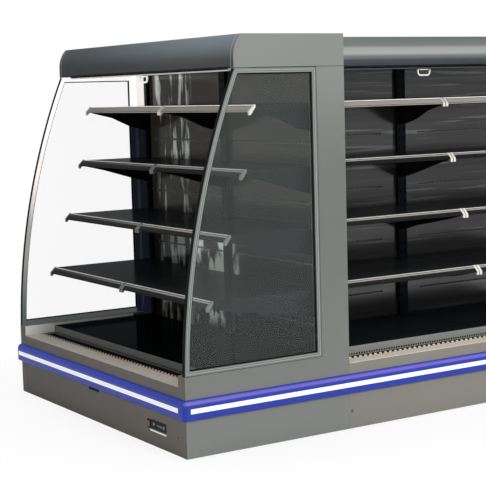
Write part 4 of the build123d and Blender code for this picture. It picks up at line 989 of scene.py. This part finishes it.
# ---- blinds
class FRIDGE_OT_pull_bails(bpy.types.Operator):
    """Mould the pull bows of the night blinds with round edges"""

    bl_idname = "fridge.pull_bails"
    bl_label = "Pull bows"

    def execute(self, context):
        for module in MODULES:
            node = f"{module.name}_blind_bail"
            box_low, box_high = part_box(node)
            place, depth = module.place((box_low + box_high) / 2)
            half, corner, rod = 41 * MM, 18 * MM, 3 * MM
            base, rod_height = box_low.z + 13 * MM, box_high.z - rod
            line = np.vstack((
                [(-half, rod_height)], arc((-half + corner, base + corner), corner, 180, 270, 14),
                arc((half - corner, base + corner), corner, 270, 360, 14), [(half, rod_height)]))
            ahead = np.gradient(line, axis=0)
            ahead /= np.linalg.norm(ahead, axis=1)[:, None]
            ahead[0], ahead[-1] = (0, -1), (0, 1)
            side = np.stack((-ahead[:, 1], ahead[:, 0]), -1)
            angle = np.linspace(0, 2 * np.pi, 20, endpoint=False)
            ring = np.stack((np.cos(angle), np.sin(angle)), -1)
            ring = 4.6 * MM * np.sign(ring) * np.abs(ring) ** 0.6
            lateral = place + line[:, 0, None] + side[:, 0, None] * ring[None, :, 0]
            height = line[:, 1, None] + side[:, 1, None] * ring[None, :, 0]
            bow = Shape().rings(module.at(lateral, depth + ring[None, :, 1], height))
            bow.turned(module.at(np.array(place - half), np.array(depth), np.array(rod_height)),
                       module.along, [(rod, 0), (rod, 2 * half)])
            # The head's bow takes the rail beads' finish with its painted glow; the run's bow
            # plain white.
            bow.piece(f"{node}_moulding", "rail_white" if module is head else "blind_white",
                      "blind_white", node, replaces=(node,))
        return {"FINISHED"}


class FRIDGE_OT_bar_shadow_bands(bpy.types.Operator):
    """Set a dark band of painted shadow along the top of each blind's bottom bar, under the
    canopy
    """

    bl_idname = "fridge.bar_seals"
    bl_label = "Blind bar shadow_bands"

    def execute(self, context):
        box_low, box_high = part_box("head_blind_bar")
        depth = head.place(box_low)[1]
        for module in MODULES:
            node = f"{module.name}_blind_bar"
            # A dark band on the bar's top: painted shadow under the canopy's fascia.
            Shape().boxes(module, (module.span[0] + 30 * MM, module.span[1] - 30 * MM),
                          (depth - 0.8 * MM, depth), (box_high.z - 7.5 * MM, box_high.z)).piece(
                f"{node}_seal", "rubber_black", "control_black", node)
        return {"FINISHED"}


# ---- controls and fixings
class FRIDGE_OT_controls(bpy.types.Operator):
    """Fill in the controller's window, its figures, its keys and its lower edge"""

    bl_idname = "fridge.controls"
    bl_label = "Controls"

    def execute(self, context):
        left, base, front, sunk = 622 * MM, 89 * MM, -2 * MM, 0.2 * MM
        foot = base + 17 * MM
        digit, stroke, tall = 7 * MM, 1.4 * MM, 13 * MM
        whole, right_bar, left_bar = (0, digit), (digit - stroke, digit), (0, stroke)
        upper_half, lower_half = (tall / 2, tall), (0, tall / 2)
        bars = {"a": (whole, (tall - stroke, tall)), "b": (right_bar, upper_half),
                "c": (right_bar, lower_half), "d": (whole, (0, stroke)),
                "e": (left_bar, lower_half), "f": (left_bar, upper_half),
                "g": (whole, ((tall - stroke) / 2, (tall + stroke) / 2))}
        figures = Shape()
        for index, segments in enumerate(("abcdef", "bcfg")):
            start = left + (20 + 11 * index) * MM
            for (near, far), (lower, upper) in (bars[segment] for segment in segments):
                figures.boxes(head, (start + near, start + far), (front - 0.3 * MM, front + sunk),
                              (foot + lower, foot + upper))
        figures.piece("controller_figures", "glow_green", "control_black")
        key_start = left + (62 + 15 * np.arange(4)) * MM
        Shape().boxes(head, (key_start, key_start + 10 * MM), (front - 0.6 * MM, front + sunk),
                      (base + 18 * MM, base + 27 * MM)).piece(
            "controller_keys", "key_grey", "key_grey", bevel=0.3 * MM)
        Shape().boxes(head, (605 * MM, 770 * MM), (-0.5 * MM, 0.4 * MM),
                      (80 * MM, 82 * MM)).piece("vent_edge", "strip_white", "strip_white")
        return {"FINISHED"}


class FRIDGE_OT_fixings(bpy.types.Operator):
    """Set the screws of the base panels and a dark sheet of painted shade for the notch under the
    bumper
    """

    bl_idname = "fridge.fixings"
    bl_label = "Fixings"

    def execute(self, context):
        height = np.array(93 * MM)
        profile = np.array([(6.8, 0.2), (6.8, -0.9), (5.4, -2.4), (2.6, -3.2),
                            (0.3, -3.4)]) * MM
        places = {head: (-INNER_HALF + 6 * MM, INNER_HALF - 19 * MM),
                  run: (SEAM + 12 * MM, RUN_END - 12 * MM)}
        screws = Shape()
        for module, laterals in places.items():
            for lateral in laterals:
                centre = module.at(np.array(lateral), np.array(0.0), height)
                screws.turned(centre, module.inward, profile, steps=24)
        screws.piece("panel_screws", "screw_steel", "galvanised")
        # A black sheet on the front panel under the bumper: painted shade of a notch.
        Shape().boxes(head, (-74 * MM, 45 * MM), (-0.8 * MM, 0.0),
                      (168 * MM, BUMPER_BASE - MM)).piece(
            "notch_painted_shade", "rubber_black", "control_black")
        return {"FINISHED"}


# ---- stage
class FRIDGE_OT_stage(bpy.types.Operator):
    """Set the camera, the soft lamps, the pale floor and the white surroundings"""

    bl_idname = "fridge.stage"
    bl_label = "Stage"

    def execute(self, context):
        self.set_camera(context)
        self.set_lamps(context)
        self.set_floor(context)
        self.set_world(context)
        context.scene.view_settings.view_transform = "Standard"
        return {"FINISHED"}

    @staticmethod
    def set_camera(context):
        yaw, pitch, roll = 1.00896, 0.10958, -0.02768
        sensor, focal_pixels, frame_pixels = 36, 1362.37, 486
        ahead = np.array([-np.sin(yaw) * np.cos(pitch), np.cos(yaw) * np.cos(pitch),
                          -np.sin(pitch)])
        level = np.array([np.cos(yaw), np.sin(yaw), 0.0])
        upward = np.cross(level, ahead)
        right = np.cos(roll) * level + np.sin(roll) * upward
        above = -np.sin(roll) * level + np.cos(roll) * upward
        camera = bpy.data.objects.new("camera", bpy.data.cameras.new("camera"))
        context.scene.collection.objects.link(camera)
        camera.matrix_world = Matrix.Translation((6.45171, -4.61715, 1.71965)) @ Matrix(
            np.stack((right, above, -ahead), -1).tolist()).to_4x4()
        camera.data.sensor_width = sensor
        camera.data.lens = sensor * focal_pixels / frame_pixels
        camera.data.clip_end = 100
        context.scene.camera = camera

    @staticmethod
    def set_lamps(context):
        for name, place, aim, size, power in (
                ("side_lamp", (7.5, 0.5, 4.2), (0.4, 0.0, 0.9), 4.0, 330),
                ("front_lamp", (-1.5, -7.5, 4.0), (0.0, -1.0, 0.9), 4.0, 130),
                ("top_lamp", (0.5, 0.0, 6.5), (0.0, 0.0, 1.0), 5.0, 200)):
            lamp = bpy.data.objects.new(name, bpy.data.lights.new(name, "AREA"))
            lamp.data.shape = "DISK"
            lamp.data.size = size
            lamp.data.energy = power
            lamp.location = place
            turn = (Vector(aim) - Vector(place)).to_track_quat("-Z", "Y")
            lamp.rotation_euler = turn.to_euler()
            context.scene.collection.objects.link(lamp)

    @staticmethod
    def set_floor(context):
        """A grey floor that the camera sees as white, but for some shade by the object."""
        half = 30.0
        mesh = bpy.data.meshes.new("floor")
        mesh.from_pydata([(-half, -half, 0), (half, -half, 0), (half, half, 0),
                          (-half, half, 0)], [], [(0, 1, 2, 3)])
        floor = bpy.data.objects.new("floor", mesh)
        context.scene.collection.objects.link(floor)
        material = bpy.data.materials.new("pale_floor")
        nodes = Nodes(material)
        shade = nodes.put(nodes.tree.nodes["Principled BSDF"], Base_Color=(0.86, 0.86, 0.86),
                          Roughness=0.8, Specular_IOR_Level=0.0)
        shine = nodes.node("Emission", Strength=1.0)
        place = nodes.node("TexCoord").outputs["Object"]
        distance = nodes.node("VectorMath", "LENGTH", _0=place).outputs["Value"]
        white = nodes.eased(distance, 1.3, 2.8, 0.84, 1.0)
        nodes.surface_mix("Material Output", nodes.math("MULTIPLY", nodes.seen(), white),
                          shade, shine)
        mesh.materials.append(material)

    @staticmethod
    def set_world(context):
        """A pale blue room for light and reflections, and plain white for the camera."""
        context.scene.world = bpy.data.worlds.new("white_room")
        nodes = Nodes(context.scene.world)
        base = nodes.put(nodes.tree.nodes["Background"], Color=(0.92, 0.95, 1.0), Strength=0.42)
        bright = nodes.node("Background", Color=(1, 1, 1), Strength=1.0)
        nodes.surface_mix("World Output", nodes.seen(), base, bright)


# ---- add-on
OPERATORS = (FRIDGE_OT_stage, FRIDGE_OT_finishes, FRIDGE_OT_canopies, FRIDGE_OT_bumper,
             FRIDGE_OT_glazing, FRIDGE_OT_linings, FRIDGE_OT_price_rails, FRIDGE_OT_lips,
             FRIDGE_OT_return_grilles, FRIDGE_OT_uprights, FRIDGE_OT_back_panels,
             FRIDGE_OT_pull_bails, FRIDGE_OT_bar_shadow_bands, FRIDGE_OT_controls, FRIDGE_OT_fixings)


class FRIDGE_PT_panel(bpy.types.Panel):
    """The fridge's settings and its pieces"""

    bl_idname = "FRIDGE_PT_panel"
    bl_label = "Open display fridge"
    bl_space_type = "VIEW_3D"
    bl_region_type = "UI"
    bl_category = "Fridge"

    def draw(self, context):
        for settings in (context.scene.fridge_colours, context.scene.fridge_sizes):
            for name in settings.__annotations__:
                self.layout.prop(settings, name)
        for operator in OPERATORS:
            self.layout.operator(operator.bl_idname)


CLASSES = (FridgeColours, FridgeSizes, *OPERATORS, FRIDGE_PT_panel)


def register():
    for each in CLASSES:
        bpy.utils.register_class(each)
    bpy.types.Scene.fridge_colours = bpy.props.PointerProperty(type=FridgeColours)
    bpy.types.Scene.fridge_sizes = bpy.props.PointerProperty(type=FridgeSizes)


def unregister():
    del bpy.types.Scene.fridge_sizes
    del bpy.types.Scene.fridge_colours
    for each in reversed(CLASSES):
        bpy.utils.unregister_class(each)


def main():
    register()
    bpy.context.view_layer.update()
    for operator in OPERATORS:
        group, name = operator.bl_idname.split(".")
        getattr(getattr(bpy.ops, group), name)()


if __name__ == "__main__":
    main()
